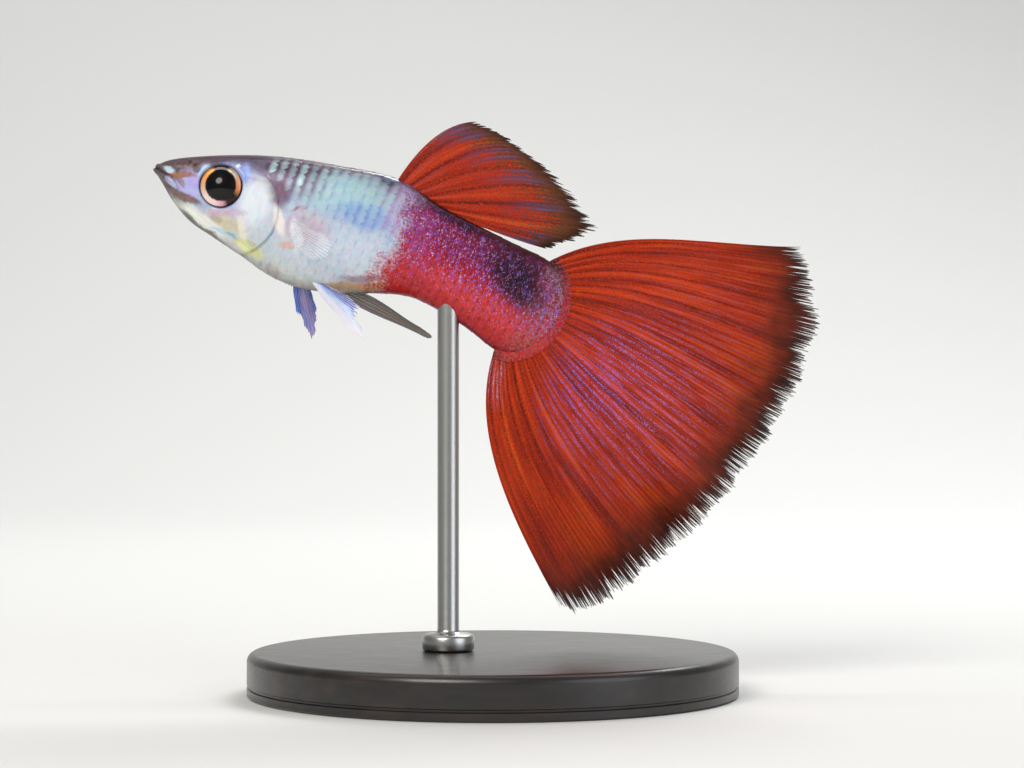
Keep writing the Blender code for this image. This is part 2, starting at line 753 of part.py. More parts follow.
def turned(name, profile, steps, finish, collection):
    mesh = bpy.data.meshes.new(name)
    mesh.from_pydata([(r, 0, z) for r, z in profile], [(i, i + 1) for i in range(len(profile) - 1)], [])
    mesh.materials.append(finish)
    made = bpy.data.objects.new(name, mesh)
    collection.objects.link(made)
    screw = made.modifiers.new("turn", "SCREW")
    screw.axis = "Z"
    screw.steps = screw.render_steps = steps
    screw.use_merge_vertices = True
    screw.merge_threshold = 0.00001
    screw.use_smooth_shade = True
    return made


def main():
    for old in list(bpy.data.objects):
        bpy.data.objects.remove(old)
    scene = bpy.context.scene
    fish = bpy.data.collections.new("guppy")
    stand = bpy.data.collections.new("stand")
    cutters = bpy.data.collections.new("cutters")
    for group in (fish, stand, cutters):
        scene.collection.children.link(group)

    silver = material("silver_skin", (0.72, 0.76, 0.82), 0.35)
    red = material("red_skin", (0.62, 0.06, 0.05), 0.35)
    red_fin = material("red_fin", (0.6, 0.05, 0.02), 0.5)
    pale_fin = material("pale_fin", (0.6, 0.66, 0.85), 0.5)
    clear_fin = material("clear_fin", (0.75, 0.75, 0.72), 0.5)
    eye = material("eye", (0.05, 0.04, 0.03), 0.1)
    dark_wood = material("dark_wood", (0.03, 0.025, 0.02), 0.4)
    steel = material("steel", (0.6, 0.6, 0.6), 0.3, 1.0)

    make_head(silver, fish, cutters)
    make_trunk(silver, fish, cutters)
    make_stem(red, fish, cutters)
    make_eye("eye_left", -1, eye, fish)
    make_eye("eye_right", 1, eye, fish)

    make_fin("dorsal_fin", dorsal_fin(), red_fin, fish)
    make_fin("tail_fin", tail_fin(), red_fin, fish)
    make_fin("anal_fin", anal_fin(), clear_fin, fish)
    round_reach = smooth_through((0, 3.6), (0.3, 4.5), (0.7, 4.4), (1, 3.2))
    left_pitch, right_pitch = smooth_through((0, 10), (1, 58)), smooth_through((0, 82), (1, 122))
    make_fin("pectoral_fin_left", pectoral_fin(-1, round_reach, left_pitch, 42), clear_fin, fish)
    make_fin("pectoral_fin_right", pectoral_fin(1, round_reach, right_pitch, 36), clear_fin, fish)
    left_reach = smooth_through((0, 5.6), (0.18, 6.4), (0.4, 4.4), (0.62, 4.3), (0.85, 3.9), (1, 3.0))
    right_reach = smooth_through((0, 2.4), (0.25, 2.9), (0.5, 4.6), (0.7, 3.4), (0.85, 2.6), (1, 2.0))
    left_slope, right_slope = smooth_through((0, 54), (1, 24)), smooth_through((0, 103), (1, 56))
    left = pelvic_fin(-1, (-12.5, 28.5), (-11.7, 28.4), left_reach, left_slope, 22)
    right = pelvic_fin(1, (-13.9, 28.45), (-12.8, 28.3), right_reach, right_slope, 22)
    make_fin("pelvic_fin_left", left, pale_fin, fish)
    make_fin("pelvic_fin_right", right, pale_fin, fish)
    make_stand(dark_wood, steel, stand, cutter(body_mesh(grow=GAP), "grown_body", cutters))


main()
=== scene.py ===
import bisect
import math
import random

import bpy
import numpy as np
from mathutils import Matrix, Vector


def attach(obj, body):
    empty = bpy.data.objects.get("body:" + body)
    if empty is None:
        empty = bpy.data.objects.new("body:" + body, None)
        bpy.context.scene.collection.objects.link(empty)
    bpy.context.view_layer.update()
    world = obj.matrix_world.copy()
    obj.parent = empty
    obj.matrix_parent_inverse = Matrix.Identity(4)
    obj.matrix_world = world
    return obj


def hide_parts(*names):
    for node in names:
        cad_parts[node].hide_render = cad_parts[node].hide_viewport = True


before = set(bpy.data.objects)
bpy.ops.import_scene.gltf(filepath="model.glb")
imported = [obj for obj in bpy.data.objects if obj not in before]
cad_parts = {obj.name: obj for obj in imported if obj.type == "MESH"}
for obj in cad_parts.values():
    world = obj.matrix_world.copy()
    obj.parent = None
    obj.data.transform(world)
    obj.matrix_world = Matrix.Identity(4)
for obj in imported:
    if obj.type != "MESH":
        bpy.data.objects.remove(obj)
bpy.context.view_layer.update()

# The stand's base: a disc of fine-grained hardwood turned on a lathe, stained black right through its open
# pores and rubbed with satin lacquer. A fine groove runs round it above the floor.

MM = 0.001


def linear(code):
    """A linear colour from the sRGB hex code."""
    parts = [int(code[i : i + 2], 16) / 255 for i in (1, 3, 5)]
    return [p / 12.92 if p <= 0.04045 else ((p + 0.055) / 1.055) ** 2.4 for p in parts] + [1]


def give(node, settings):
    """Sets a node's properties and inputs. A node or an output given for an input is linked to it."""
    for key, value in settings.items():
        if key == "stops":
            marks = node.color_ramp.elements
            for i, (place, code) in enumerate(value):
                mark = marks[i] if i < len(marks) else marks.new(1)
                mark.position, mark.color = place, linear(code)
        elif isinstance(key, str) and hasattr(node, key):
            setattr(node, key, value)
        elif isinstance(value, bpy.types.Node):
            in_use = next(output for output in value.outputs if output.enabled)
            node.id_data.links.new(in_use, node.inputs[key])
        elif isinstance(value, bpy.types.NodeSocket):
            node.id_data.links.new(value, node.inputs[key])
        else:
            node.inputs[key].default_value = linear(value) if isinstance(value, str) else value
    return node


def add(tree, kind, settings):
    """A new node in the tree, with its settings and links."""
    return give(tree.nodes.new("ShaderNode" + kind), settings)


def new_material(name, settings):
    """A material, its node tree and its Principled shader with the settings."""
    made = bpy.data.materials.new(name)
    made.use_nodes = True
    return made, made.node_tree, give(made.node_tree.nodes["Principled BSDF"], settings)


def ebonised_beech():
    """Stained beech: near black, with brown left in the harder growth and a soft lacquered gloss."""
    made, tree, shader = new_material(
        "ebonised_beech", {"Roughness": 0.38, "IOR": 1.5, "Coat Weight": 0.35, "Coat Roughness": 0.22}
    )
    place = add(tree, "TexCoord", {}).outputs["Object"]
    along = add(tree, "Mapping", {"Scale": (0.12, 1, 1), "Vector": place})
    grain = add(tree, "TexNoise", {"Scale": 1 / (1.1 * MM), "Detail": 6, "Vector": along})
    pores = add(tree, "TexNoise", {"Scale": 1 / (0.22 * MM), "Detail": 3, "Vector": along})
    stops = ((0.3, "#0e0b0a"), (0.55, "#1d1613"), (0.75, "#2f231c"))
    give(shader, {
        "Base Color": add(tree, "ValToRGB", {"stops": stops, "Fac": grain}),
        "Roughness": add(tree, "MapRange", {"To Min": 0.3, "To Max": 0.48, "Value": pores}),
        "Normal": add(tree, "Bump", {"Strength": 0.25, "Distance": 0.03 * MM, "Height": pores}),
    })
    return made


def mesh_piece(name, points, faces, finish, slot_name, replaced=(), maps=None, crease=None):
    """A smooth mesh on the fish or its stand, with the UV maps' values given for each point."""
    mesh = bpy.data.meshes.new(name)
    mesh.from_pydata([tuple(p) for p in points], [], faces)
    corners = np.empty(len(mesh.loops), dtype=np.int32)
    mesh.loops.foreach_get("vertex_index", corners)
    for map_name, values in (maps or {}).items():
        layer = mesh.uv_layers.new(name=map_name)
        layer.data.foreach_set("uv", np.asarray(values, dtype=np.float32)[corners].ravel())
    mesh.materials.append(finish)
    mesh.shade_smooth()
    if crease:
        mesh.set_sharp_from_angle(angle=math.radians(crease))
    made = bpy.data.objects.new(name, mesh)
    bpy.context.scene.collection.objects.link(made)
    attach(made, "root")
    if replaced:
        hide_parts(*replaced)
    return made


def ring_faces(rings, steps):
    """Quads between closed rings of points that follow one another."""
    faces = []
    for i in range(rings - 1):
        for j in range(steps):
            k = (j + 1) % steps
            faces.append((i * steps + j, i * steps + k, (i + 1) * steps + k, (i + 1) * steps + j))
    return faces


def turned(profile, steps, centre_x=0.0):
    """Points and faces of a solid turned round an upright axis from (radius, height) in mm, top first."""
    points = [(centre_x, 0, profile[0][1] * MM)]
    for radius, height in profile:
        for j in range(steps):
            turn = 2 * math.pi * j / steps
            x, y = centre_x + radius * MM * math.cos(turn), radius * MM * math.sin(turn)
            points.append((x, y, height * MM))
    points.append((centre_x, 0, profile[-1][1] * MM))
    last = len(points) - 1
    faces = [(0, 1 + j, 1 + (j + 1) % steps) for j in range(steps)]
    faces += [(a + 1, d + 1, c + 1, b + 1) for a, b, c, d in ring_faces(len(profile), steps)]
    faces += [(last, last - steps + (j + 1) % steps, last - steps + j) for j in range(steps)]
    return points, faces


quarter = [math.radians(degrees) for degrees in range(0, 91, 9)]
disc = [(16.4 + 0.6 * math.sin(turn), 2.4 + 0.6 * math.cos(turn)) for turn in quarter]
disc += [(17, 0.85), (16.86, 0.78), (16.86, 0.66), (17, 0.59), (17, 0.15), (16.85, 0)]
mesh_piece("base_disc", *turned(disc, 240), ebonised_beech(), "dark_wood", ("stand_base",), crease=35)

# The skin: one smooth hide from the lips to the end of the tail stem, wet and pearly in front and red
# behind. It replaces the head, trunk and tail stem, and lies inside them by the scales' thickness.

STANDARD_LENGTH = 30 * MM  # nose to the end of the scaled tail stem, as in the CAD
NOSE_X, NOSE_Z = -23.35 * MM, 36.4 * MM
NOSE_PITCH, STEM_PITCH = math.radians(9.8), math.radians(33.3)
ROD_X = -3.1  # mm, where the stand's rod holds the fish and its sway begins
SWAY_FROM_X, SWAY_FROM_Z, SWAY_PER_METRE = ROD_X * MM, 29.3 * MM, 5.5
STEM_ROUND = 0.9
SCALE_THICK = 0.05 * MM

EYE_X, EYE_Z, EYE_SEAT = -18.68 * MM, 35.1 * MM, 1.86 * MM
EYE_RADIUS = 1.5 * MM
EYE_YAW, EYE_ROLL = math.radians(8), math.radians(5)
GILL_X, GILL_Z, GILL_RADIUS, GILL_SWELL = -17.8 * MM, 33.6 * MM, 3.05 * MM, 0.16 * MM
MOUTH = (Vector((-23.5 * MM, 36.55 * MM)), Vector((-22.1 * MM, 35.7 * MM)))
JAW_CREASE = ((-22.0 * MM, 35.8 * MM), (-21.35 * MM, 34.95 * MM))
CHIN_CREASE = ((-21.6 * MM, 34.1 * MM), (-18.6 * MM, 31.7 * MM))
NOSTRILS = ((-20.85 * MM, 36.75 * MM), (-20.45 * MM, 36.55 * MM))

SKIN_AROUND, HEAD_RINGS, BODY_RINGS, SNOUT_RINGS, END_RINGS = 240, 200, 120, 8, 24
HEAD_SHARE = 0.31  # the finely meshed part's share of the standard length


def smooth_through(*knots):
    """A smooth function of one value that passes through the (place, value) knots."""
    places = [place for place, _ in knots]
    values = [value for _, value in knots]
    last = len(knots) - 1
    slopes = []
    for i in range(len(knots)):
        low, high = max(i - 1, 0), min(i + 1, last)
        slopes.append((values[high] - values[low]) / (places[high] - places[low]))

    def value_at(place):
        place = min(max(place, places[0]), places[-1])
        i = min(bisect.bisect_right(places, place) - 1, last - 1)
        width = places[i + 1] - places[i]
        t = (place - places[i]) / width
        ends = values[i] * (1 + 2 * t) * (1 - t) ** 2 + values[i + 1] * t * t * (3 - 2 * t)
        return ends + width * t * (1 - t) * (slopes[i] * (1 - t) - slopes[i + 1] * t)

    return value_at


def smoothstep(low, high, value):
    t = min(max((value - low) / (high - low), 0), 1)
    return t * t * (3 - 2 * t)


# The body's section in millimetres at shares of the standard length: the CAD's, with a rounder snout
BACK = smooth_through(
    (0, 0.24), (0.02, 0.68), (0.05, 1.05), (0.1, 1.5), (0.16, 2.0), (0.24, 2.6), (0.32, 3.05), (0.4, 3.43),
    (0.5, 3.95), (0.55, 3.96), (0.65, 3.46), (0.73, 3.4), (0.82, 3.47), (0.9, 3.66), (1, 3.66),
)
BELLY = smooth_through(
    (0, 0.3), (0.02, 0.95), (0.05, 1.97), (0.1, 3.14), (0.16, 3.84), (0.24, 4.62), (0.32, 5.38), (0.4, 5.56),
    (0.5, 4.98), (0.58, 4.05), (0.66, 3.25), (0.73, 3.16), (0.82, 3.34), (0.9, 3.66), (1, 3.66),
)
HALF_WIDTH = smooth_through(
    (0, 0.72), (0.02, 1.02), (0.05, 1.36), (0.1, 1.76), (0.16, 2.08), (0.24, 2.34), (0.34, 2.42), (0.44, 2.3),
    (0.54, 1.95), (0.64, 1.55), (0.74, 1.3), (0.84, 1.1), (0.92, 0.85), (1, 0.4),
)
WIDEST = smooth_through((0, 0), (0.06, 0.1), (0.16, -0.1), (0.3, 0.25), (0.45, 0.3), (0.7, 0), (1, 0))
SQUARE_ABOVE = smooth_through((0, 2.2), (0.1, 2.7), (0.2, 2.6), (0.35, 2.2), (0.6, 2), (1, 2))
SQUARE_BELOW = smooth_through((0, 2.2), (0.1, 1.95), (0.3, 1.9), (0.5, 1.95), (1, 2))


def pitch_at(share):
    return NOSE_PITCH + (STEM_PITCH - NOSE_PITCH) * share


def along_axis(share):
    pitch = pitch_at(share)
    return Vector((math.cos(pitch), 0, -math.sin(pitch)))


def above_axis(share):
    pitch = pitch_at(share)
    return Vector((math.sin(pitch), 0, math.cos(pitch)))


def axis_point(share):
    radius = STANDARD_LENGTH / (STEM_PITCH - NOSE_PITCH)
    pitch = pitch_at(share)
    x = NOSE_X + radius * (math.sin(pitch) - math.sin(NOSE_PITCH))
    return Vector((x, 0, NOSE_Z + radius * (math.cos(pitch) - math.cos(NOSE_PITCH))))


def sway(x, z):
    """How far the body's gentle curve moves a place sideways; x and z may be arrays."""
    behind = (x - SWAY_FROM_X) * math.cos(STEM_PITCH) - (z - SWAY_FROM_Z) * math.sin(STEM_PITCH)
    return SWAY_PER_METRE * np.maximum(behind, 0) ** 2


def swayed(point):
    return Vector((point[0], point[1] + sway(point[0], point[2]), point[2]))


def section(share):
    """A section's half width, widest height, back height, belly depth and squareness above and below."""
    close = math.sqrt(max(1 - (max(share - STEM_ROUND, 0) / (1 - STEM_ROUND)) ** 2, 0))
    back, belly = BACK(share) * MM * close, BELLY(share) * MM * close
    widest = WIDEST(share) * MM * close
    half = HALF_WIDTH(share) * MM * (0.35 + 0.65 * close)
    return half, widest, back, belly, SQUARE_ABOVE(share), SQUARE_BELOW(share)


def on_section(share, angle, lift, shape=None):
    """A skin point before the sway, raised outwards by lift. The angle turns from the back to the left."""
    half, widest, back, belly, above, below = shape or section(share)
    cosine, sine = math.cos(angle), math.sin(angle)
    square = above if cosine > 0 else below
    side = math.copysign(abs(sine) ** (2 / square), sine)
    rise = math.copysign(abs(cosine) ** (2 / square), cosine)
    height = widest + rise * ((back - widest + lift) if rise > 0 else (belly + widest + lift))
    place = axis_point(share) + above_axis(share) * height
    place.y = -side * (half + lift)
    return place


def near_line(x, z, first, last):
    """How far (x, z) is from a line in the side view, and how far along the line, as a share."""
    dx, dz = last[0] - first[0], last[1] - first[1]
    length = math.hypot(dx, dz)
    ahead = ((x - first[0]) * dx + (z - first[1]) * dz) / length
    aside = ((z - first[1]) * dx - (x - first[0]) * dz) / length
    beyond = max(-ahead, ahead - length, 0)
    return math.hypot(aside, beyond), ahead / length


def bell(distance, width):
    return math.exp(-((distance / width) ** 2))


def head_relief(x, z, flank):
    """How far the head's skin stands out here, with flank 0 on the back or belly and 1 at the side."""
    raised = 0
    away, along = near_line(x, z, *MOUTH)
    raised -= 0.2 * MM * bell(away, 0.07 * MM)
    raised += 0.11 * MM * bell(away - 0.2 * MM, 0.12 * MM) * smoothstep(1.25, 0.9, along)
    # The crease where the upper jaw slides past the cheek, and the one along the chin
    raised -= 0.07 * MM * bell(near_line(x, z, *JAW_CREASE)[0], 0.07 * MM)
    raised -= 0.05 * MM * bell(near_line(x, z, *CHIN_CREASE)[0], 0.08 * MM) * flank
    for hole_x, hole_z in NOSTRILS:
        away = math.hypot(x - hole_x, z - hole_z)
        raised += 0.05 * MM * bell(away - 0.15 * MM, 0.07 * MM) - 0.16 * MM * bell(away, 0.1 * MM)
    # The eye's socket and its low rim
    away = math.hypot(x - EYE_X, z - EYE_Z)
    sunk = smoothstep(EYE_RADIUS + 0.08 * MM, EYE_RADIUS - 0.12 * MM, away)
    raised -= 1.1 * MM * sunk * smoothstep(0.3, 0.6, flank)
    raised += 0.05 * MM * bell(away - EYE_RADIUS - 0.22 * MM, 0.14 * MM) * flank
    # The gill cover, with its free edge behind and the bone's rim within it
    out = math.hypot(x - GILL_X, z - GILL_Z) / GILL_RADIUS
    if x > GILL_X - 0.5 * GILL_RADIUS:
        below = smoothstep(0, 0.5, flank) * smoothstep(36.3 * MM, 35.3 * MM, z)
        covered = smoothstep(0.6, 0.97, out) * smoothstep(1.035, 1.005, out)
        raised += GILL_SWELL * covered * below
        raised -= 0.1 * MM * bell(out - 1.05, 0.02) * below
        raised -= 0.04 * MM * bell(out - 0.62, 0.02) * smoothstep(GILL_X, GILL_X + 0.6 * MM, x) * flank
    return raised


def skin_point(share, angle, lift, shape):
    """A point of the finished skin, with the head's relief, raised by lift."""
    place = on_section(share, angle, lift, shape)
    if share < HEAD_SHARE:
        raised = head_relief(place.x, place.z, abs(math.sin(angle)) ** 0.8)
        place = on_section(share, angle, lift + raised, shape)
    return swayed(place)


def where_all(tree, mask, *others):
    """The share that all the masks let through."""
    for other in others:
        mask = add(tree, "Math", {"operation": "MULTIPLY", 0: mask, 1: other})
    return mask


def tint(tree, under, code, *masks):
    """Lays a colour over what is under it, as far as all the masks let it through."""
    return add(tree, "Mix", {"data_type": "RGBA", 0: where_all(tree, *masks), 6: under, 7: code})


def spot(tree, under, where, code, centre, size, tilt, strength):
    """Lays a soft-edged oval of colour over what is under it, in millimetres of the side view."""
    soft = min(0.7 + 0.25 * min(size), 1)
    oval = add(tree, "Mapping", {
        "vector_type": "TEXTURE",
        "Location": (centre[0] * MM, 0, centre[1] * MM),
        "Rotation": (0, math.radians(tilt), 0),
        "Scale": (size[0] * MM, 1, size[1] * MM),
        "Vector": where,
    })
    length = add(tree, "VectorMath", {"operation": "LENGTH", 0: oval})
    mask = add(tree, "MapRange", {
        "interpolation_type": "SMOOTHSTEP", "From Min": 1 + soft / 2, "From Max": 1 - soft / 2,
        "To Max": strength, "Value": length,
    })
    return tint(tree, under, code, mask)


# The front half's marks: colour, centre (x, z), half length and height, tilt, strength
FRONT_MARKS = (
    ("#a6d2de", (-10.3, 34.5), (2.9, 1.5), 8, 0.8),
    ("#6f93d8", (-8.7, 32.95), (2.2, 0.8), 12, 0.85),
    ("#b79ccc", (-6.1, 33.3), (1.2, 1.9), 10, 0.75),
    ("#c4d0e0", (-10.6, 30.3), (3.9, 1.7), 12, 0.8),
    ("#c9a6b8", (-12.8, 32.2), (1.5, 1.1), 0, 0.7),
    ("#6e4a6c", (-14.0, 35.4), (2.5, 1.2), 4, 0.8),
    ("#6a3a58", (-14.7, 34.5), (0.75, 0.95), -20, 0.85),
    ("#b04a78", (-13.2, 33.5), (0.55, 0.14), -12, 0.75),
    ("#3c2036", (-14.4, 36.55), (4.6, 0.6), 5, 0.75),
    ("#d8a890", (-13.9, 31.0), (0.8, 0.3), 4, 0.8),
    ("#9298d4", (-18.6, 35.1), (2.1, 2.0), 0, 0.7),
    ("#e4ebf3", (-16.3, 33.9), (1.1, 1.5), 18, 0.95),
    ("#f4ebe2", (-14.6, 32.7), (0.35, 1.0), -18, 0.9),
    ("#eff3fb", (-13.4, 31.7), (0.32, 1.0), -6, 0.85),
    ("#d2c6a2", (-18.4, 32.5), (1.5, 0.6), 28, 0.85),
    ("#a2957c", (-19.0, 32.95), (0.45, 0.3), 30, 0.6),
    ("#ece6da", (-17.2, 32.2), (0.3, 0.9), -10, 0.75),
    ("#d6d88c", (-16.9, 30.85), (1.2, 0.42), 36, 0.85),
    ("#eaeeb0", (-17.25, 30.9), (0.42, 0.2), 34, 0.7),
    ("#c09460", (-16.6, 31.2), (0.36, 0.13), 34, 0.45),
    ("#f0f0e8", (-20.0, 32.8), (1.8, 0.38), 41, 1.0),
    ("#b8dcf4", (-18.95, 31.98), (0.65, 0.14), 28, 0.9),
    # A dark olive strip along the throat's lower edge: partly darker skin, partly painted shade under the jaw
    ("#453e2e", (-20.1, 32.08), (2.8, 0.3), 40, 0.9),
    ("#5a9fd4", (-18.0, 31.6), (0.5, 0.13), 24, 0.7),
    ("#34190f", (-22.2, 35.9), (1.8, 1.7), 20, 1.0),
    ("#56304a", (-20.4, 36.75), (1.8, 0.5), -4, 0.9),
    ("#b0aeea", (-20.8, 35.15), (0.95, 0.9), 10, 0.95),
    ("#b4d2f6", (-19.95, 36.15), (0.55, 0.4), -25, 0.95),
    ("#4a1e1a", (-21.3, 36.62), (1.3, 0.3), 2, 0.95),
    ("#481a24", (-20.5, 36.3), (0.28, 0.34), 30, 0.9),
    ("#965626", (-21.5, 35.8), (0.85, 0.22), 2, 0.9),
    ("#7c4c30", (-21.4, 35.4), (0.45, 0.16), 62, 0.65),
    ("#c2cce4", (-22.28, 36.25), (0.42, 0.19), 22, 0.9),
    ("#b4b6e2", (-22.1, 35.32), (0.56, 0.22), 56, 0.9),
    ("#6a4030", (-21.2, 34.35), (1.2, 0.24), 24, 0.95),
    ("#bcc08c", (-21.82, 34.05), (0.34, 0.12), 45, 0.55),
    ("#24120e", (-23.2, 36.3), (0.5, 0.5), 0, 0.9),
    ("#cdb0cc", (-18.2, 33.3), (1.3, 0.28), 2, 0.85),
    ("#8ea2ea", (-17.0, 35.9), (0.32, 0.7), 0, 0.85),
    ("#e6ecff", (-17.5, 36.5), (0.15, 0.15), 0, 0.9),
    ("#341420", (-18.9, 37.15), (3.4, 0.4), 0, 0.85),
    ("#8a5a62", (-8.5, 28.75), (1.9, 0.25), -2, 0.7),
    ("#c99a66", (-9.4, 28.2), (2.4, 0.28), 0, 0.9),
    ("#27305f", (-7.3, 35.65), (0.85, 0.38), 24, 0.9),
)
# The rear half's marks, over the red
REAR_MARKS = (
    ("#6a1a3c", (-2.0, 31.2), (3.6, 1.4), 31, 0.45),
    ("#a04a88", (-4.9, 31.8), (0.9, 1.8), 14, 0.4),
    ("#4c1226", (1.0, 29.5), (2.6, 1.2), 38, 0.6),
    ("#220a18", (-3.2, 33.6), (3.4, 0.6), 36, 0.9),
    ("#3a1018", (1.6, 30.6), (3.0, 0.5), 38, 0.8),
    ("#180a10", (1.8, 28.5), (2.1, 1.2), 46, 0.9),
    ("#cc3222", (-1.4, 27.3), (3.6, 0.8), 30, 0.7),
    ("#c42c1c", (1.2, 25.5), (2.6, 0.9), 36, 0.7),
)


def markings(tree):
    """The guppy's colours and some painted shade on the belly's edge, alike on both flanks: the colour, how
    red it is, how far round, and the place.
    """
    place = add(tree, "TexCoord", {}).outputs["Object"]
    parts = add(tree, "SeparateXYZ", {0: add(tree, "UVMap", {"uv_map": "body"})})
    share, around = parts.outputs[0], parts.outputs[1]
    # Broad wander of the marks' edges, then the stipple of single pigment cells, drawn 0.16 mm wide
    ragged = add(tree, "TexNoise", {"Scale": 1 / (1.5 * MM), "Detail": 3, "Roughness": 0.55, "Vector": place})
    stipple = add(tree, "TexNoise", {"Scale": 1 / (0.16 * MM), "Detail": 1, "Vector": place})
    where = place
    for noise, reach in ((ragged, 0.8 * MM), (stipple, 0.1 * MM)):
        middle = {"operation": "SUBTRACT", 0: noise.outputs["Color"], 1: (0.5, 0.5, 0.5)}
        scaled = {"operation": "SCALE", 0: add(tree, "VectorMath", middle), "Scale": reach}
        shift = add(tree, "VectorMath", scaled)
        where = add(tree, "VectorMath", {"operation": "ADD", 0: where, 1: shift})

    mean = add(tree, "Math", {"operation": "SUBTRACT", 0: ragged, 1: 0.5})
    wavy = add(tree, "Math", {"operation": "MULTIPLY_ADD", 0: mean, 1: 0.16, 2: around})
    # Darker at the belly's lower edge: partly a darker skin edge, partly painted shade where the belly turns
    # from the light
    pearl = (
        (0.0, "#24121a"), (0.07, "#46283a"), (0.18, "#74587e"), (0.34, "#a2aed6"), (0.58, "#bccadd"),
        (0.86, "#c4cac8"), (0.97, "#7c7264"),
    )
    front = add(tree, "ValToRGB", {"stops": pearl, "Fac": wavy})
    # Plum veins wander over the nape and shoulder; they are about 0.1 mm wide
    webbed = {"feature": "DISTANCE_TO_EDGE", "Scale": 1 / (1.1 * MM), "Vector": where}
    veins = add(tree, "TexVoronoi", webbed)
    thin = add(tree, "MapRange", {"From Min": 0.12, "From Max": 0.0, "To Max": 0.6, "Value": veins})
    high = add(tree, "MapRange", {"From Min": 0.42, "From Max": 0.22, "Value": around})
    front = tint(tree, front, "#6b3a5e", thin, high)
    for mark in FRONT_MARKS:
        front = spot(tree, front, where, *mark)

    # Darker at the lower edge here too: partly a darker skin edge, partly painted shade where the belly turns
    # from the light
    red_flank = (
        (0.0, "#26090f"), (0.1, "#56121c"), (0.24, "#8c1a28"), (0.45, "#a81a20"), (0.68, "#b82014"),
        (0.9, "#b01e14"), (1.0, "#6a140e"),
    )
    rear = add(tree, "ValToRGB", {"stops": red_flank, "Fac": wavy})
    for mark in REAR_MARKS:
        rear = spot(tree, rear, where, *mark)
    # Fine grey-pink freckles close the stem where the tail's rays begin
    last = add(tree, "MapRange", {"From Min": 0.9, "From Max": 0.97, "To Max": 0.9, "Value": share})
    freckles = add(tree, "MapRange", {"From Min": 0.48, "From Max": 0.58, "Value": stipple})
    rear = tint(tree, rear, "#96646a", last, freckles)

    # The red begins behind the belly, along a ragged and speckled edge
    edge = share
    for noise, reach in ((ragged, 0.055), (stipple, 0.04)):
        shift = add(tree, "MapRange", {"To Min": -reach, "To Max": reach, "Value": noise})
        edge = add(tree, "Math", {"operation": "ADD", 0: edge, 1: shift})
    fade = {"interpolation_type": "SMOOTHSTEP", "From Min": 0.545, "From Max": 0.61}
    red = add(tree, "MapRange", {**fade, "Value": edge})
    colour = tint(tree, front, rear, red)
    # Clouds of pigment and crystal under the skin, drawn 0.4 mm wide
    cloud = add(tree, "TexNoise", {"Scale": 1 / (0.4 * MM), "Detail": 4, "Roughness": 0.7, "Vector": place})
    clouded = {"data_type": "RGBA", "blend_type": "OVERLAY", 0: 0.55}
    colour = add(tree, "Mix", {**clouded, 6: colour, 7: cloud.outputs["Color"]})
    return colour, red, around, place


def glints(tree, colour, red, around, place, *shown):
    """Adds the skin's crystals: violet and blue grains on the red with painted glints among them, and in
    front a faint play of nacre painted as pearly sheen.
    """
    # Real crystals are under 0.05 mm; they are drawn 0.1 mm wide and lean with the scales' rows
    leaning = add(tree, "Mapping", {
        "vector_type": "TEXTURE", "Rotation": (0, math.radians(26), 0), "Scale": (0.7, 1, 1.5),
        "Vector": place,
    })
    cells = add(tree, "TexVoronoi", {"Scale": 1 / (0.1 * MM), "Vector": leaning})
    chance = add(tree, "SeparateColor", {0: cells.outputs["Color"]})
    film = add(tree, "TexNoise", {"Scale": 1 / (0.22 * MM), "Detail": 2, "Roughness": 0.7, "Vector": leaning})
    drift = add(tree, "TexNoise", {"Scale": 1 / (0.9 * MM), "Detail": 1, "Vector": leaning})
    violets = ((0.34, "#b83c70"), (0.45, "#a248a0"), (0.56, "#6450c4"), (0.68, "#b060a8"))
    violet = add(tree, "ValToRGB", {"stops": violets, "Fac": drift})
    greys = (
        (0.05, "#101010"), (0.22, "#f0f0f0"), (0.5, "#ffffff"), (0.72, "#a0a0a0"), (0.88, "#404040"),
        (1.0, "#808080"),
    )
    reach = where_all(tree, red, add(tree, "ValToRGB", {"stops": greys, "Fac": around}), *shown)
    sheet = add(tree, "MapRange", {"From Min": 0.49, "From Max": 0.57, "To Max": 0.68, "Value": film})
    sheet = where_all(tree, sheet, reach)
    colour = tint(tree, colour, violet, sheet)
    # Single bright grains within the sheets of crystal, painted as glints
    wanted = add(tree, "Math", {"operation": "MULTIPLY_ADD", 0: film, 1: 1.6, 2: chance})
    lit = add(tree, "MapRange", {"From Min": 1.42, "From Max": 1.5, "Value": wanted})
    dot = add(tree, "MapRange", {"From Min": 0.6, "From Max": 0.3, "Value": cells})
    brights = ((0.1, "#d870b0"), (0.4, "#9678dc"), (0.7, "#cca0dc"), (0.95, "#e6d0ea"))
    bright = add(tree, "ValToRGB", {"stops": brights, "Fac": chance.outputs[1]})
    colour = tint(tree, colour, bright, lit, dot, reach)
    # The crystals are dimmer over the dark blotch on the tail stem
    colour = spot(tree, colour, place, "#180a10", (1.8, 28.5), (2.4, 1.4), 46, 0.5)
    # The play of nacre: pale colours painted as a pearly sheen on the front below the back
    pales = ((0.36, "#b8dcf4"), (0.46, "#f6f8fa"), (0.55, "#f0dcee"), (0.66, "#d4f4e6"))
    nacre = add(tree, "ValToRGB", {"stops": pales, "Fac": drift})
    play = add(tree, "MapRange", {"From Min": 1, "From Max": 0, "To Max": 0.2, "Value": red})
    low = add(tree, "MapRange", {"From Min": 0.08, "From Max": 0.4, "Value": around})
    return tint(tree, colour, nacre, play, low, film), sheet


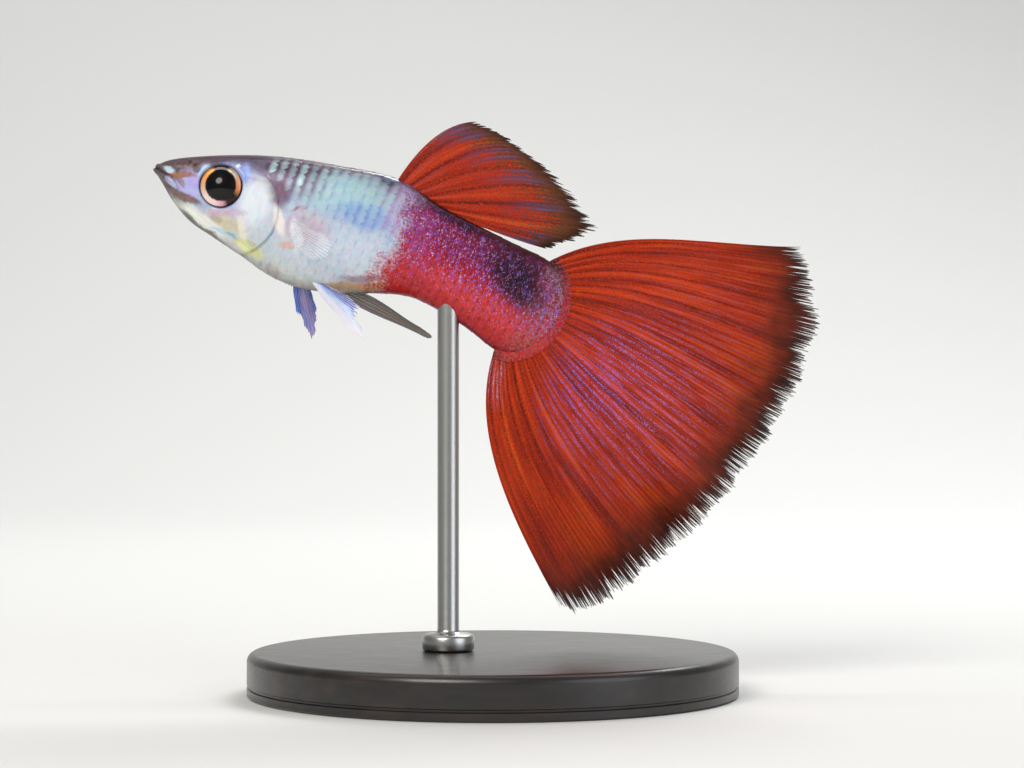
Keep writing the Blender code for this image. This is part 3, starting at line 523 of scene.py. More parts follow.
def wet_skin():
    """Living fish skin: pigment under a clear film of slime, so soft colour below and a sharp wet gloss."""
    made, tree, shader = new_material("wet_fish_skin", {
        "Roughness": 0.4, "IOR": 1.4, "Specular IOR Level": 0.2,
        "Coat Weight": 0.3, "Coat Roughness": 0.14, "Coat IOR": 1.34,
        "Subsurface Weight": 0.12, "Subsurface Radius": (0.6, 0.3, 0.2), "Subsurface Scale": 0.3 * MM,
    })
    colour, red, around, place = markings(tree)
    colour, sparkle = glints(tree, colour, red, around, place)
    pits = add(tree, "TexNoise", {"Scale": 1 / (0.2 * MM), "Detail": 3, "Vector": place})
    give(shader, {
        "Base Color": colour,
        "Metallic": add(tree, "MapRange", {"To Min": 0.05, "To Max": 0.6, "Value": sparkle}),
        "Normal": add(tree, "Bump", {"Strength": 0.12, "Distance": 0.02 * MM, "Height": pits}),
    })
    return made


def skin():
    head = [HEAD_SHARE * (i / HEAD_RINGS) ** 1.15 for i in range(HEAD_RINGS)]
    trunk = [HEAD_SHARE + (STEM_ROUND - HEAD_SHARE) * i / BODY_RINGS for i in range(BODY_RINGS)]
    bends = [math.sin(math.radians(87) * i / END_RINGS) for i in range(END_RINGS + 1)]
    ends = [STEM_ROUND + (1 - STEM_ROUND) * bend for bend in bends]
    angles = [2 * math.pi * j / SKIN_AROUND for j in range(SKIN_AROUND)]
    rounds = [1 - abs(1 - 2 * j / SKIN_AROUND) for j in range(SKIN_AROUND)]
    points, body = [], []
    # The snout's rounded front, then the rings of the body
    for i in range(1, SNOUT_RINGS):
        turn = math.pi / 2 * i / SNOUT_RINGS
        wide, ahead = math.sin(turn), 0.1 * MM * math.cos(turn)
        for angle in angles:
            edge = on_section(0, angle, -SCALE_THICK)
            place = axis_point(0) + (edge - axis_point(0)) * wide - along_axis(0) * ahead
            away, _ = near_line(place.x, place.z, *MOUTH)
            pushed = -0.2 * MM * bell(away, 0.07 * MM) + 0.07 * MM * bell(away - 0.17 * MM, 0.1 * MM)
            points.append(place - along_axis(0) * pushed)
        body += [(0, part) for part in rounds]
    for share in head + trunk + ends:
        shape = section(share)
        points += [skin_point(share, angle, -SCALE_THICK, shape) for angle in angles]
        body += [(share, part) for part in rounds]
    faces = ring_faces(len(points) // SKIN_AROUND, SKIN_AROUND)
    faces.append(tuple(range(SKIN_AROUND)))
    faces.append(tuple(reversed(range(len(points) - SKIN_AROUND, len(points)))))
    nodes = ("head", "trunk", "tail_stem")
    return mesh_piece("skin", points, faces, wet_skin(), "silver_skin", nodes, {"body": body})


hide = skin()

# The stand's rod and its collar: drawn stainless steel, finished by turning it against fine grit, which
# leaves rings round it. Its foot is screwed to the base, and its top enters the belly behind the anal fin.


def brushed_steel():
    """Ground stainless steel: neutral grey, with fine rings that spread the highlight up and down."""
    made, tree, shader = new_material(
        "brushed_stainless_steel", {"Base Color": "#b9b9b6", "Metallic": 1.0, "Roughness": 0.3}
    )
    place = add(tree, "TexCoord", {}).outputs["Object"]
    # Real grit marks are 0.01 mm wide; these are drawn 0.08 mm wide so that they show
    around = add(tree, "Mapping", {"Scale": (0.03, 0.03, 1), "Vector": place})
    rings = add(tree, "TexNoise", {"Scale": 1 / (0.08 * MM), "Detail": 2, "Vector": around})
    give(shader, {
        "Roughness": add(tree, "MapRange", {"To Min": 0.26, "To Max": 0.36, "Value": rings}),
        "Normal": add(tree, "Bump", {"Strength": 0.04, "Distance": 0.01 * MM, "Height": rings}),
    })
    return made


ROD_STEPS = 96
rod = [(0.75, 26), (0.75, 4.5), (0.79, 4.36), (0.92, 4.24), (1.5, 4.2), (1.7, 4.12), (1.8, 3.93)]
rod += [(1.8, 3.2), (1.74, 3.08), (1.6, 3.0)]
rod_points, rod_faces = turned(rod, ROD_STEPS, ROD_X * MM)
# The rod's top is cut to the belly's curve, 0.15 mm inside the skin
bpy.context.view_layer.update()
for i in range(ROD_STEPS + 1):
    x, y, _ = rod_points[i]
    _, belly_at, _, _ = hide.ray_cast((x, y, 0.02), (0, 0, 1))
    rod_points[i] = (x, y, belly_at.z + 0.15 * MM)
mesh_piece("rod", rod_points, rod_faces, brushed_steel(), "steel", ("stand_rod",), crease=50)

# The eyes: a clear wet film over a metallic iris and a wide black pupil, which swells out of the iris as
# a fish's round lens does. The iris is pale gold in front, silver pink below and copper elsewhere, and
# dark at the top and the lower rear.

IRIS_EDGE, EYE_STEPS, EYE_TURNS = 1.42, 36, 72  # the iris's radius in mm, and the dome's mesh


def eye_frame(side):
    """The eye's place, with local Z pointing out of the head. Side is -1 on the left, +1 on the right."""
    turn = Matrix.Rotation(side * (-math.pi / 2 + EYE_ROLL), 4, "X")
    yaw = Matrix.Rotation(side * EYE_YAW, 4, "Z")
    return Matrix.Translation((EYE_X, side * EYE_SEAT, EYE_Z)) @ yaw @ turn


def polished_eye():
    """A wet eye: mirror-like iris flakes and a black pupil under one smooth clear film."""
    made, tree, shader = new_material("wet_eye", {
        "Roughness": 0.3, "IOR": 1.38, "Specular IOR Level": 0.1,
        "Coat Weight": 1.0, "Coat Roughness": 0.02, "Coat IOR": 1.36,
    })
    place = add(tree, "TexCoord", {}).outputs["Object"]
    out = add(tree, "SeparateXYZ", {0: add(tree, "UVMap", {"uv_map": "polar"})})
    flecks = add(tree, "TexNoise", {"Scale": 1 / (0.2 * MM), "Detail": 4, "Roughness": 0.7, "Vector": place})
    from_middle = add(tree, "VectorMath", {"operation": "SUBTRACT", 0: place, 1: (EYE_X, 0, EYE_Z)})
    parts = add(tree, "SeparateXYZ", {0: from_middle})
    turn = add(tree, "Math", {"operation": "ARCTAN2", 0: parts.outputs[2], 1: parts})
    clock = add(tree, "MapRange", {"From Min": -math.pi, "From Max": math.pi, "Value": turn})
    # Round the iris from the snout's side, by way of the bottom, the rear and the top
    metals = (
        (0.0, "#f0c098"), (0.1, "#f8e0d8"), (0.2, "#f4d4d0"), (0.27, "#dc9ab4"), (0.31, "#301410"),
        (0.4, "#261210"), (0.46, "#d88858"), (0.54, "#eca878"), (0.6, "#c8bca4"), (0.66, "#a89a84"),
        (0.69, "#1c100a"), (0.8, "#2a160c"), (0.84, "#e08a40"), (0.92, "#f0a050"), (1.0, "#f0c098"),
    )
    iris = add(tree, "ValToRGB", {"stops": metals, "Fac": clock})
    # The bright ring is wider on the snout's side; a fine dark line bounds it
    leaned = add(tree, "Math", {"operation": "MULTIPLY_ADD", 0: parts, 1: -30.0, 2: out})
    ragged = add(tree, "Math", {"operation": "MULTIPLY_ADD", 0: flecks, 1: 0.14, 2: leaned})
    edges = ((0.6, "#000000"), (0.76, "#101010"), (0.83, "#ffffff"))
    line = add(tree, "MapRange", {"From Min": 0.965, "From Max": 0.94, "Value": out})
    ring = where_all(tree, add(tree, "ValToRGB", {"stops": edges, "Fac": ragged}), line)
    give(shader, {
        "Base Color": add(tree, "Mix", {"data_type": "RGBA", 0: ring, 6: "#030202", 7: iris}),
        "Metallic": add(tree, "Math", {"operation": "MULTIPLY", 0: ring, 1: 0.3}),
        "Normal": add(tree, "Bump", {"Strength": 0.25, "Distance": 0.02 * MM, "Height": flecks}),
    })
    return made


def eyeball(name, side, finish):
    # Radius and height in millimetres from the middle of the pupil's dome to the iris's edge
    dome = smooth_through(
        (-0.35, 0.46), (0, 0.5), (0.35, 0.46), (0.7, 0.34), (0.98, 0.2), (1.1, 0.14), (1.3, 0.09),
        (IRIS_EDGE, 0.0),
    )
    radii = [IRIS_EDGE * max(i, 0.1) / EYE_STEPS for i in range(EYE_STEPS + 1)]
    rings = [(radius, dome(radius), radius * MM / EYE_RADIUS) for radius in radii]
    behind = ((1.49, -0.12), (1.46, -0.35), (1.2, -0.7), (0.7, -0.95), (0.2, -1.04))
    rings += [(radius, height, 1) for radius, height in behind]
    place = eye_frame(side)
    points, polar = [], []
    for radius, height, out in rings:
        for j in range(EYE_TURNS):
            turn = 2 * math.pi * j / EYE_TURNS
            point = (radius * math.cos(turn) * MM, radius * math.sin(turn) * MM, height * MM)
            points.append(place @ Vector(point))
            polar.append((out, j / EYE_TURNS))
    faces = ring_faces(len(rings), EYE_TURNS)
    faces.append(tuple(reversed(range(EYE_TURNS))))
    faces.append(tuple(range(len(points) - EYE_TURNS, len(points))))
    return mesh_piece(name, points, faces, finish, "eye", (name,), {"polar": polar})


eye_finish = polished_eye()
eyeball("eye_left", -1, eye_finish).name = "eye_ball_left"
eyeball("eye_right", 1, eye_finish).name = "eye_ball_right"

# The scales: thin round-ended plates of bone in skin, rooted in front and overlapping like tiles behind,
# from the nape to the fin rays. Small ones run on over the roots of the tail's rays.

SCALE_COLUMNS, SCALE_ROWS = 33, 11  # along the body, and from back to belly on one side
SCALES_FROM, SCALES_TO = 0.235, 0.975
SCALE_REACH, OVERLAP = 1.9, 0.62  # a plate's length in columns, and half its height in rows
TAIL_RAYS, ROOT_ROWS = 26, 3
ALONG, ACROSS = 9, 8  # a plate's mesh steps
AHEAD = [1 - (1 - k / ALONG) ** 1.5 for k in range(ALONG + 1)]  # closer together at the free edge
PATCH = 0.003  # a plate's width and length on the baking map


def girth_angles(share, count=96):
    """The angles of places spread evenly from back to belly, as a function of 0 to 1."""
    shape = section(share)
    angles = [math.pi * i / count for i in range(count + 1)]
    ring = [on_section(share, angle, 0, shape) for angle in angles]
    lengths = [0]
    for a, b in zip(ring, ring[1:]):
        lengths.append(lengths[-1] + (b - a).length)
    return lambda even: float(np.interp(even * lengths[-1], lengths, angles))


def pearly_scale():
    """A wet scale: clear bone over the skin's colours, with a crescent of crystal near its free edge."""
    made, tree, shader = new_material("pearly_fish_scale", {
        "Roughness": 0.32, "IOR": 1.5, "Specular IOR Level": 0.25,
        "Coat Weight": 0.45, "Coat Roughness": 0.12, "Coat IOR": 1.34,
    })
    parts = add(tree, "SeparateXYZ", {0: add(tree, "UVMap", {"uv_map": "plate"})})
    along, chance = parts.outputs[0], parts.outputs[1]
    # The small plates over the tail's roots have the least chance and stay plain
    bows = ((0.3, "#202020"), (0.55, "#ffffff"), (0.8, "#ffffff"), (0.96, "#303030"))
    plain = add(tree, "MapRange", {"From Min": 0.1, "From Max": 0.3, "Value": chance})
    crescent = where_all(tree, add(tree, "ValToRGB", {"stops": bows, "Fac": along}), plain)
    colour, red, around, place = markings(tree)
    colour, sparkle = glints(tree, colour, red, around, place, crescent)
    # In front the crescents are pale turquoise bars, crystal colour with a painted highlight, strongest on
    # the upper flank
    greys = ((0.08, "#000000"), (0.22, "#ffffff"), (0.42, "#c0c0c0"), (0.55, "#303030"), (0.9, "#303030"))
    bars = ((0.5, "#000000"), (0.68, "#ffffff"), (0.82, "#ffffff"), (0.95, "#000000"))
    flank = add(tree, "ValToRGB", {"stops": greys, "Fac": around})
    clear = add(tree, "MapRange", {"From Min": 0.6, "From Max": 0.0, "To Max": 0.95, "Value": red})
    crystal_bar_and_highlight = where_all(tree, add(tree, "ValToRGB", {"stops": bars, "Fac": along}), flank, clear, chance)
    colour = tint(tree, colour, "#cdeef4", crystal_bar_and_highlight)
    # A thin dark line of pigment edges each scale, fainter in front
    rims = ((0.84, "#000000"), (0.98, "#ffffff"))
    depth = add(tree, "MapRange", {"To Min": 0.12, "To Max": 0.6, "Value": red})
    colour = tint(tree, colour, "#3a1420", add(tree, "ValToRGB", {"stops": rims, "Fac": along}), depth)
    flash = add(tree, "Math", {"operation": "MAXIMUM", 0: sparkle, 1: crystal_bar_and_highlight})
    # Growth rings, drawn 0.08 mm apart
    turns = add(tree, "Math", {"operation": "MULTIPLY", 0: along, 1: 95})
    rings = add(tree, "Math", {"operation": "SINE", 0: turns})
    give(shader, {
        "Base Color": colour,
        "Metallic": add(tree, "MapRange", {"To Min": 0.06, "To Max": 0.65, "Value": flash}),
        "Normal": add(tree, "Bump", {"Strength": 0.06, "Distance": 0.01 * MM, "Height": rings}),
    })
    return made


def rim_of(count, step, others, other_step):
    """The points round the rim of a grid, by their numbers, where neighbours differ by step or other_step."""
    rim = [a * step for a in range(count)]
    rim += [count * step + b * other_step for b in range(others)]
    rim += [a * step + others * other_step for a in range(count, 0, -1)]
    rim += [b * other_step for b in range(others, 0, -1)]
    return zip(rim, rim[1:] + rim[:1])


def add_plate(coat, surface, flip, chance, patch):
    """Adds one closed plate to the coat. surface(k, across, lift) gives a point and its body place."""
    start, row_size = len(coat["points"]), ACROSS + 1
    layer_size = (ALONG + 1) * row_size
    for layer in (0, 1):
        for k, ahead in enumerate(AHEAD):
            narrowed = math.sqrt(1 - 0.985 * (max(ahead - 0.42, 0) / 0.58) ** 2)
            wide = narrowed * (0.75 + 0.25 * min(ahead * 3, 1))
            lift = (0.044 * ahead - 0.02 - layer * (0.022 - 0.016 * ahead)) * MM
            for m in range(row_size):
                across = 2 * m / ACROSS - 1
                point, body = surface(k, across * wide, lift + 0.008 * MM * (1 - across * across))
                coat["points"].append(point)
                coat["body"].append(body)
                coat["plate"].append((ahead * (1 - 0.1 * across * across), chance))
                coat["OFBake"].append((patch[0] + PATCH / 2 * across, patch[1] + PATCH * (ahead - 0.5)))
    for k in range(ALONG):
        for m in range(ACROSS):
            a = start + k * row_size + m
            b = a + layer_size
            coat["faces"].append((a, a + 1, a + 1 + row_size, a + row_size)[::flip])
            coat["faces"].append((b, b + 1, b + 1 + row_size, b + row_size)[::-flip])
    for a, b in rim_of(ACROSS, 1, ALONG, row_size):
        a, b = start + a, start + b
        coat["faces"].append((a, a + layer_size, b + layer_size, b)[::flip])


def direction(pitch_degrees):
    pitch = math.radians(pitch_degrees)
    return Vector((math.cos(pitch), 0, -math.sin(pitch)))


def tail_shape():
    """The tail's rays, from the stem's rounded end to the delta's three edges, as in the CAD."""
    centre, onward, up = axis_point(STEM_ROUND), along_axis(STEM_ROUND), above_axis(STEM_ROUND)
    slope = math.degrees(pitch_at(STEM_ROUND))
    depth, length = BACK(STEM_ROUND) * MM - 0.4 * MM, (1 - STEM_ROUND) * STANDARD_LENGTH - 0.4 * MM
    reach = smooth_through(
        (0, 20.3), (0.05, 21.4), (0.12, 21.6), (0.25, 21.2), (0.4, 20.5), (0.55, 20.3), (0.7, 20.7),
        (0.82, 21.4), (0.92, 22.3), (0.97, 22.6), (1, 22.2),
    )

    def root(u):
        turn = math.radians(88 - 176 * u)
        return centre + onward * length * math.cos(turn) + up * depth * math.sin(turn)

    def tip(u):
        turn = math.radians(42.5 - 93 * u)
        return centre + (onward * math.cos(turn) + up * math.sin(turn)) * reach(u) * MM

    def ripple(u, v):
        folds = math.sin(2 * math.pi * (2.6 * u + 0.15)) * 0.55
        folds += math.sin(2 * math.pi * (5.3 * u + 0.4)) * 0.25
        fine = math.sin(2 * math.pi * 17 * u) * 0.1 * max(1 - 7 * u, 7 * u - 6.2, 0.25)
        return (folds * v**1.5 + fine * v - 0.5 * (1 - u) * np.sin(math.pi * np.minimum(v * 1.6, 1))) * MM

    return {
        "root": root, "tip": tip, "lateral": ripple, "pull": 0.34, "seed": 3,
        "leaves": smooth_through((0, slope - 60), (0.5, slope), (1, slope + 80)),
        "ends": smooth_through((0, slope - 32), (0.5, slope + 3), (1, slope + 31)),
        "rays": TAIL_RAYS, "forks": 8, "fray": 0.045, "membrane": 0.06, "ray": 0.16,
    }


def scales(name, side, finish):
    """One flank's scales as a joined mesh of closed plates."""
    rng = random.Random(7)
    coat = {"points": [], "faces": [], "body": [], "plate": [], "OFBake": []}
    pitch = (SCALES_TO - SCALES_FROM) / SCALE_COLUMNS
    for column in range(SCALE_COLUMNS):
        root_share = SCALES_FROM + pitch * column
        shares = [min(root_share + SCALE_REACH * pitch * ahead, 0.998) for ahead in AHEAD]
        shapes = [section(share) for share in shares]
        spread = [girth_angles(share) for share in shares]
        for row in range(SCALE_ROWS + column % 2):
            # The left coat has the scales astride the back, and the right coat those astride the belly
            if column % 2 and row == (0 if side > 0 else SCALE_ROWS):
                continue
            middle = (row + 0.5 * (1 - column % 2)) / SCALE_ROWS
            root_angle = spread[0](middle)
            seen = on_section(root_share, root_angle, 0)
            if math.hypot(seen.x - GILL_X, seen.z - GILL_Z) < GILL_RADIUS * 1.02:
                continue

            def on_flank(k, across, lift):
                even = middle + OVERLAP / SCALE_ROWS * across
                folded = -even if even < 0 else even if even <= 1 else 2 - even
                angle = spread[k](folded)
                angle = -angle if even < 0 else angle if even <= 1 else 2 * math.pi - angle
                place = on_section(shares[k], -side * angle, lift - SCALE_THICK, shapes[k])
                return swayed(place), (shares[k], folded)

            turn = root_angle if side < 0 else 2 * math.pi - root_angle
            add_plate(coat, on_flank, -side, rng.uniform(0.35, 1), (turn / (2 * math.pi), root_share))
    tail = tail_shape()
    for row in range(ROOT_ROWS):
        for i in range(TAIL_RAYS):
            middle = (i + 0.5 + 0.5 * (row % 2)) / (TAIL_RAYS + 0.5)

            def on_rays(k, across, lift):
                u = min(max(middle + OVERLAP / TAIL_RAYS * across, 0), 1)
                v = 0.009 * row + 0.032 * AHEAD[k]
                root, tip = tail["root"](u), tail["tip"](u)
                place = root + direction(tail["leaves"](u)) * (tip - root).length * v
                place.y = side * (lift + (0.2 - 1.6 * v) * MM)
                return swayed(place), (0.93, u)

            add_plate(coat, on_rays, -side, 0.12, (0.5 + side * (0.5 - middle / 2), 0.98 + 0.004 * row))
    maps = {key: coat[key] for key in ("body", "plate", "OFBake")}
    return mesh_piece(name, coat["points"], coat["faces"], finish, "silver_skin", (), maps, crease=50)


scale_finish = pearly_scale()
scales("scales_left", -1, scale_finish)
scales("scales_right", 1, scale_finish)

# The fins: skin a few hundredths of a millimetre thick, stretched over jointed bony rays that fork towards
# the tips, where they fray. The tail spreads to a wide triangle, red with violet streaks and smoky edges.


def ray_net(fin, columns, rows):
    """Points of a fin's middle surface, its ridges' heights and its (u, v) places, as arrays."""
    rng = np.random.default_rng(fin["seed"])
    us = np.linspace(0, 1, columns)
    rows_at = np.linspace(0, 1, rows)
    fine = fin["rays"] * fin["forks"]
    lengths = rng.uniform(0, 1, fine + 2)
    clumps = rng.uniform(0, 1, fin["rays"] + 2)
    surface = np.zeros((columns, rows, 3))
    ridges = np.zeros((columns, rows))
    for i, u in enumerate(us):
        root, tip = fin["root"](u), fin["tip"](u)
        reach = (tip - root).length
        first = root + direction(fin["leaves"](u)) * reach * fin["pull"]
        second = tip - direction(fin["ends"](u)) * reach * 0.34
        # Each small ray ends at its own length, and whole rays end longer or shorter too
        place = u * (fine - 1) + 0.5
        between = abs(place % 1 - 0.5) * 2
        clump = float(np.interp(u * fin["rays"], range(len(clumps)), clumps))
        short = fin["fray"] * (0.3 * between + 0.6 * lengths[int(place)] + 0.85 * clump)
        v = rows_at * (1 - short * np.clip((rows_at - 0.55) / 0.45, 0, 1) ** 1.5)
        w = 1 - v
        for axis in range(3):
            near = root[axis] * w**3 + first[axis] * 3 * w * w * v
            surface[i, :, axis] = near + second[axis] * 3 * w * v * v + tip[axis] * v**3
        surface[i, :, 1] += fin["lateral"](u, v)
        # The rays fork in two, then in four and so on, each time a little farther out and finer
        level, strength = 1, 1.0
        while level <= fin["forks"]:
            phase = (u * (fin["rays"] * level - 1) + 0.5) % 1
            ridge = np.clip(1 - np.abs(phase - 0.5) * 3.2, 0, 1) ** 0.7
            fork_at = 0.25 + 0.22 * math.log2(level)
            here = np.clip((v - fork_at + 0.25) / 0.2, 0, 1) if level > 1 else np.ones(rows)
            gone = np.clip((v - fork_at) / 0.2, 0, 1) if level < fin["forks"] else np.zeros(rows)
            ridges[i] += ridge * here * (1 - gone) * strength
            level, strength = level * 2, strength * 0.8
    surface[:, :, 1] += sway(surface[:, :, 0], surface[:, :, 2])
    return surface, ridges, us, rows_at


def spread_fin(name, fin, columns, rows, finish, slot_name, node):
    """A fin as one closed sheet: two faces with the rays raised on both, joined round the rim."""
    surface, ridges, us, rows_at = ray_net(fin, columns, rows)
    across, along = np.gradient(surface, axis=0), np.gradient(surface, axis=1)
    normal = np.cross(across, along)
    normal /= np.maximum(np.linalg.norm(normal, axis=2, keepdims=True), 1e-12)
    taper = np.interp(rows_at, (0, 0.5, 0.9, 1), (1, 0.8, 0.45, 0.25))
    half = (fin["membrane"] + ridges * fin["ray"]) * MM / 2 * taper
    faces_of = [surface + normal * half[..., None], surface - normal * half[..., None]]
    points = np.concatenate([side.reshape(-1, 3) for side in faces_of])
    uv = np.stack(np.meshgrid(us, rows_at, indexing="ij"), axis=-1).reshape(-1, 2)
    size = columns * rows
    faces = []
    for i in range(columns - 1):
        for j in range(rows - 1):
            a = i * rows + j
            faces.append((a, a + rows, a + rows + 1, a + 1))
            faces.append((a + size, a + size + 1, a + size + rows + 1, a + size + rows))
    faces += [(b, a, a + size, b + size) for a, b in rim_of(columns - 1, rows, rows - 1, 1)]
    return mesh_piece(name, points, faces, finish, slot_name, (node,), {"rays": np.concatenate([uv, uv])})


def ray_gaps(tree, u, rays, width):
    """1 midway between two of this many rays, falling to 0 on the rays."""
    turns = add(tree, "Math", {"operation": "MULTIPLY_ADD", 0: u, 1: rays - 1, 2: 0.5})
    saw = add(tree, "Math", {"operation": "FRACT", 0: turns})
    off = add(tree, "Math", {"operation": "SUBTRACT", 0: saw, 1: 0.5})
    away = add(tree, "Math", {"operation": "ABSOLUTE", 0: off})
    return add(tree, "MapRange", {"From Min": 0.5 - width, "From Max": 0.5, "Value": away})


def fin_material(name, look):
    """Fin skin: deep red, darker between the rays with pigment and painted fold shade, with grains of crystal
    and a smoky margin.
    """
    made, tree, shader = new_material(name, {
        "Roughness": 0.6, "IOR": 1.4, "Specular IOR Level": 0.2, "Coat Weight": 0.06, "Coat Roughness": 0.3,
    })
    count, grain = look["rays"], look["grain"]
    rays = add(tree, "UVMap", {"uv_map": "rays"})
    place = add(tree, "TexCoord", {}).outputs["Object"]
    parts = add(tree, "SeparateXYZ", {0: rays})
    u, v = parts.outputs[0], parts.outputs[1]
    stretched = add(tree, "Mapping", {"Scale": (1, 0.05, 1), "Vector": rays})
    noise = {"Detail": 3, "Roughness": 0.55, "Vector": stretched}
    coarse = add(tree, "TexNoise", {**noise, "Scale": grain})
    fine = add(tree, "TexNoise", {**noise, "Scale": grain * 5})
    # Pigment cells, drawn 0.09 mm wide
    speck = add(tree, "TexNoise", {"Scale": 1 / (0.09 * MM), "Detail": 1, "Roughness": 0.7, "Vector": place})
    blotch = add(tree, "TexNoise", {"Scale": 1 / (2.6 * MM), "Detail": 3, "Vector": place})
    colour = add(tree, "ValToRGB", {"stops": look["ramp"], "Fac": coarse})

    # The grain of the pigment cells, some orange and some dark
    for code, low, high, most in (("#d8501c", 0.48, 0.36, 0.3), ("#3c0a04", 0.5, 0.66, 0.5)):
        cells = {"From Min": low, "From Max": high, "To Max": most, "Value": speck}
        colour = tint(tree, colour, code, add(tree, "MapRange", cells))

    # Bands of other pigment, stippled grain by grain into the red
    for code, from_v, to_v, low, high, most in look["bands"]:
        outer = add(tree, "MapRange", {"From Min": from_v, "From Max": to_v, "To Max": most, "Value": v})
        lane = add(tree, "MapRange", {"From Min": low, "From Max": high, "Value": coarse})
        share = where_all(tree, outer, lane)
        sum_up = add(tree, "Math", {"operation": "MULTIPLY_ADD", 0: share, 1: 0.42, 2: speck})
        mask = add(tree, "MapRange", {"From Min": 0.62, "From Max": 0.7, "To Max": 0.85, "Value": sum_up})
        colour = tint(tree, colour, code, mask)

    # Dark pigment lines between the rays, broken into dashes by the joints, with painted shade that makes
    # them strongest in the folds near the root
    painted_fold_shade = {"From Min": 0.05, "From Max": 0.8, "To Min": 0.9, "To Max": 0.3, "Value": v}
    fade = add(tree, "MapRange", painted_fold_shade)
    dash = add(tree, "MapRange", {"From Min": 0.3, "From Max": 0.55, "Value": speck})
    colour = tint(tree, colour, look["line"], ray_gaps(tree, u, count, 0.2), fade, dash)
    later = add(tree, "MapRange", {"From Min": 0.35, "From Max": 0.7, "To Max": 0.4, "Value": v})
    colour = tint(tree, colour, look["line"], ray_gaps(tree, u, count * 4, 0.3), later)

    # Crystals in two thin lines along each ray
    beside = ray_gaps(tree, u, count * 2, 0.46)
    patchy = add(tree, "MapRange", {"From Min": 0.42, "From Max": 0.56, "Value": fine})
    grains = add(tree, "MapRange", {"From Min": 0.48, "From Max": 0.56, "Value": speck})
    for code, centre, size, strength in look["streaks"]:
        fit = {"vector_type": "TEXTURE", "Location": (*centre, 0), "Scale": (*size, 1), "Vector": rays}
        away = add(tree, "VectorMath", {"operation": "LENGTH", 0: add(tree, "Mapping", fit)})
        mask = add(tree, "MapRange", {"From Min": 1.15, "From Max": 0.4, "To Max": strength, "Value": away})
        colour = tint(tree, colour, code, mask, beside, patchy, grains)

    # The smoky margin, uneven along the tips: brown, then near black
    edge = look["edge"]
    uneven = add(tree, "Math", {"operation": "MULTIPLY_ADD", 0: fine, 1: 0.16, 2: v})
    smoky = add(tree, "Math", {"operation": "MULTIPLY_ADD", 0: blotch, 1: edge["uneven"], 2: uneven})
    for code, earlier in ((edge["brown"], 0.1), (edge["code"], 0.0)):
        mask = add(tree, "MapRange", {
            "interpolation_type": "SMOOTHSTEP", "From Min": edge["from"] - earlier,
            "From Max": edge["to"] - earlier, "To Max": 0.95, "Value": smoky,
        })
        colour = tint(tree, colour, code, mask)

    # Beyond the last branches the rays end one by one as loose hairs, drawn about 0.1 mm wide
    combed = add(tree, "Mapping", {"Scale": (1, 0.012, 1), "Vector": rays})
    hairs = add(tree, "TexNoise", {"Scale": grain * 12, "Detail": 1, "Vector": combed})
    lengths = {"From Min": 0.3, "From Max": 0.6, "To Min": 0.91, "To Max": 1.04, "Value": hairs}
    beyond = add(tree, "Math", {"operation": "SUBTRACT", 0: v, 1: add(tree, "MapRange", lengths)})
    seen = add(tree, "MapRange", {"From Min": 0.03, "From Max": -0.03, "Value": beyond})
    thinner = {"From Min": 0.93, "From Max": 1.0, "To Min": 1.0, "To Max": 0.75, "Value": v}
    give(shader, {
        "Base Color": colour,
        "Alpha": where_all(tree, seen, add(tree, "MapRange", thinner)),
        "Normal": add(tree, "Bump", {"Strength": 0.3, "Distance": 0.03 * MM, "Height": fine}),
    })
    return made


tail_finish = fin_material("red_tail_membrane", {
    "rays": TAIL_RAYS, "grain": 34, "line": "#360502",
    "ramp": ((0.32, "#741204"), (0.46, "#a42202"), (0.58, "#c43402"), (0.74, "#da4e06")),
    "bands": (("#8a4a1e", 0.3, 1.1, 0.45, 0.6, 0.45),),
    "streaks": (
        ("#b07cc8", (0.55, 0.42), (0.28, 0.36), 0.95),
        ("#8272e0", (0.6, 0.3), (0.22, 0.2), 0.9),
        ("#b46a86", (0.42, 0.55), (0.42, 0.5), 0.6),
        ("#dcc0e4", (0.96, 0.1), (0.05, 0.12), 0.9),
    ),
    "edge": {"brown": "#6a220c", "code": "#1c0a05", "from": 0.99, "to": 1.2, "uneven": 0.22},
})
spread_fin("tail_membrane", tail_shape(), 624, 78, tail_finish, "red_fin", "tail_fin")

# The back fin: a short root and long rays that sweep back over the tail stem. It is red at the root, with
# ochre, brown and slate bands towards the tips, and its first ray is fine and white.

BACK_RAYS = 8


def dorsal_shape():
    start, end = 0.53, 0.66
    origin = axis_point(start) + above_axis(start) * BACK(start) * MM
    tip_x = smooth_through(
        (0, 6.2), (0.14, 8.6), (0.28, 10.5), (0.42, 12.0), (0.57, 13.4), (0.71, 14.3), (0.85, 14.0),
        (1, 11.0),
    )
    tip_z = smooth_through(
        (0, 4.0), (0.14, 2.45), (0.28, 0.95), (0.42, -0.65), (0.57, -1.85), (0.71, -3.0), (0.85, -4.1),
        (1, -5.0),
    )

    def root(u):
        share = start + (end - start) * u
        return axis_point(share) + above_axis(share) * (BACK(share) * MM - 0.25 * MM)

    return {
        "root": root,
        "tip": lambda u: origin + Vector((tip_x(u) * MM, 0, tip_z(u) * MM)),
        "lateral": lambda u, v: (1.3 * v**1.6 + 0.25 * math.sin(2 * math.pi * 1.8 * u) * v * v) * MM,
        "leaves": smooth_through((0, -58), (0.3, -30), (0.65, 2), (1, 22)),
        "ends": smooth_through((0, 8), (0.3, 28), (0.7, 12), (1, 14)), "pull": 0.42, "seed": 5,
        "rays": BACK_RAYS, "forks": 8, "fray": 0.1, "membrane": 0.05, "ray": 0.16,
    }


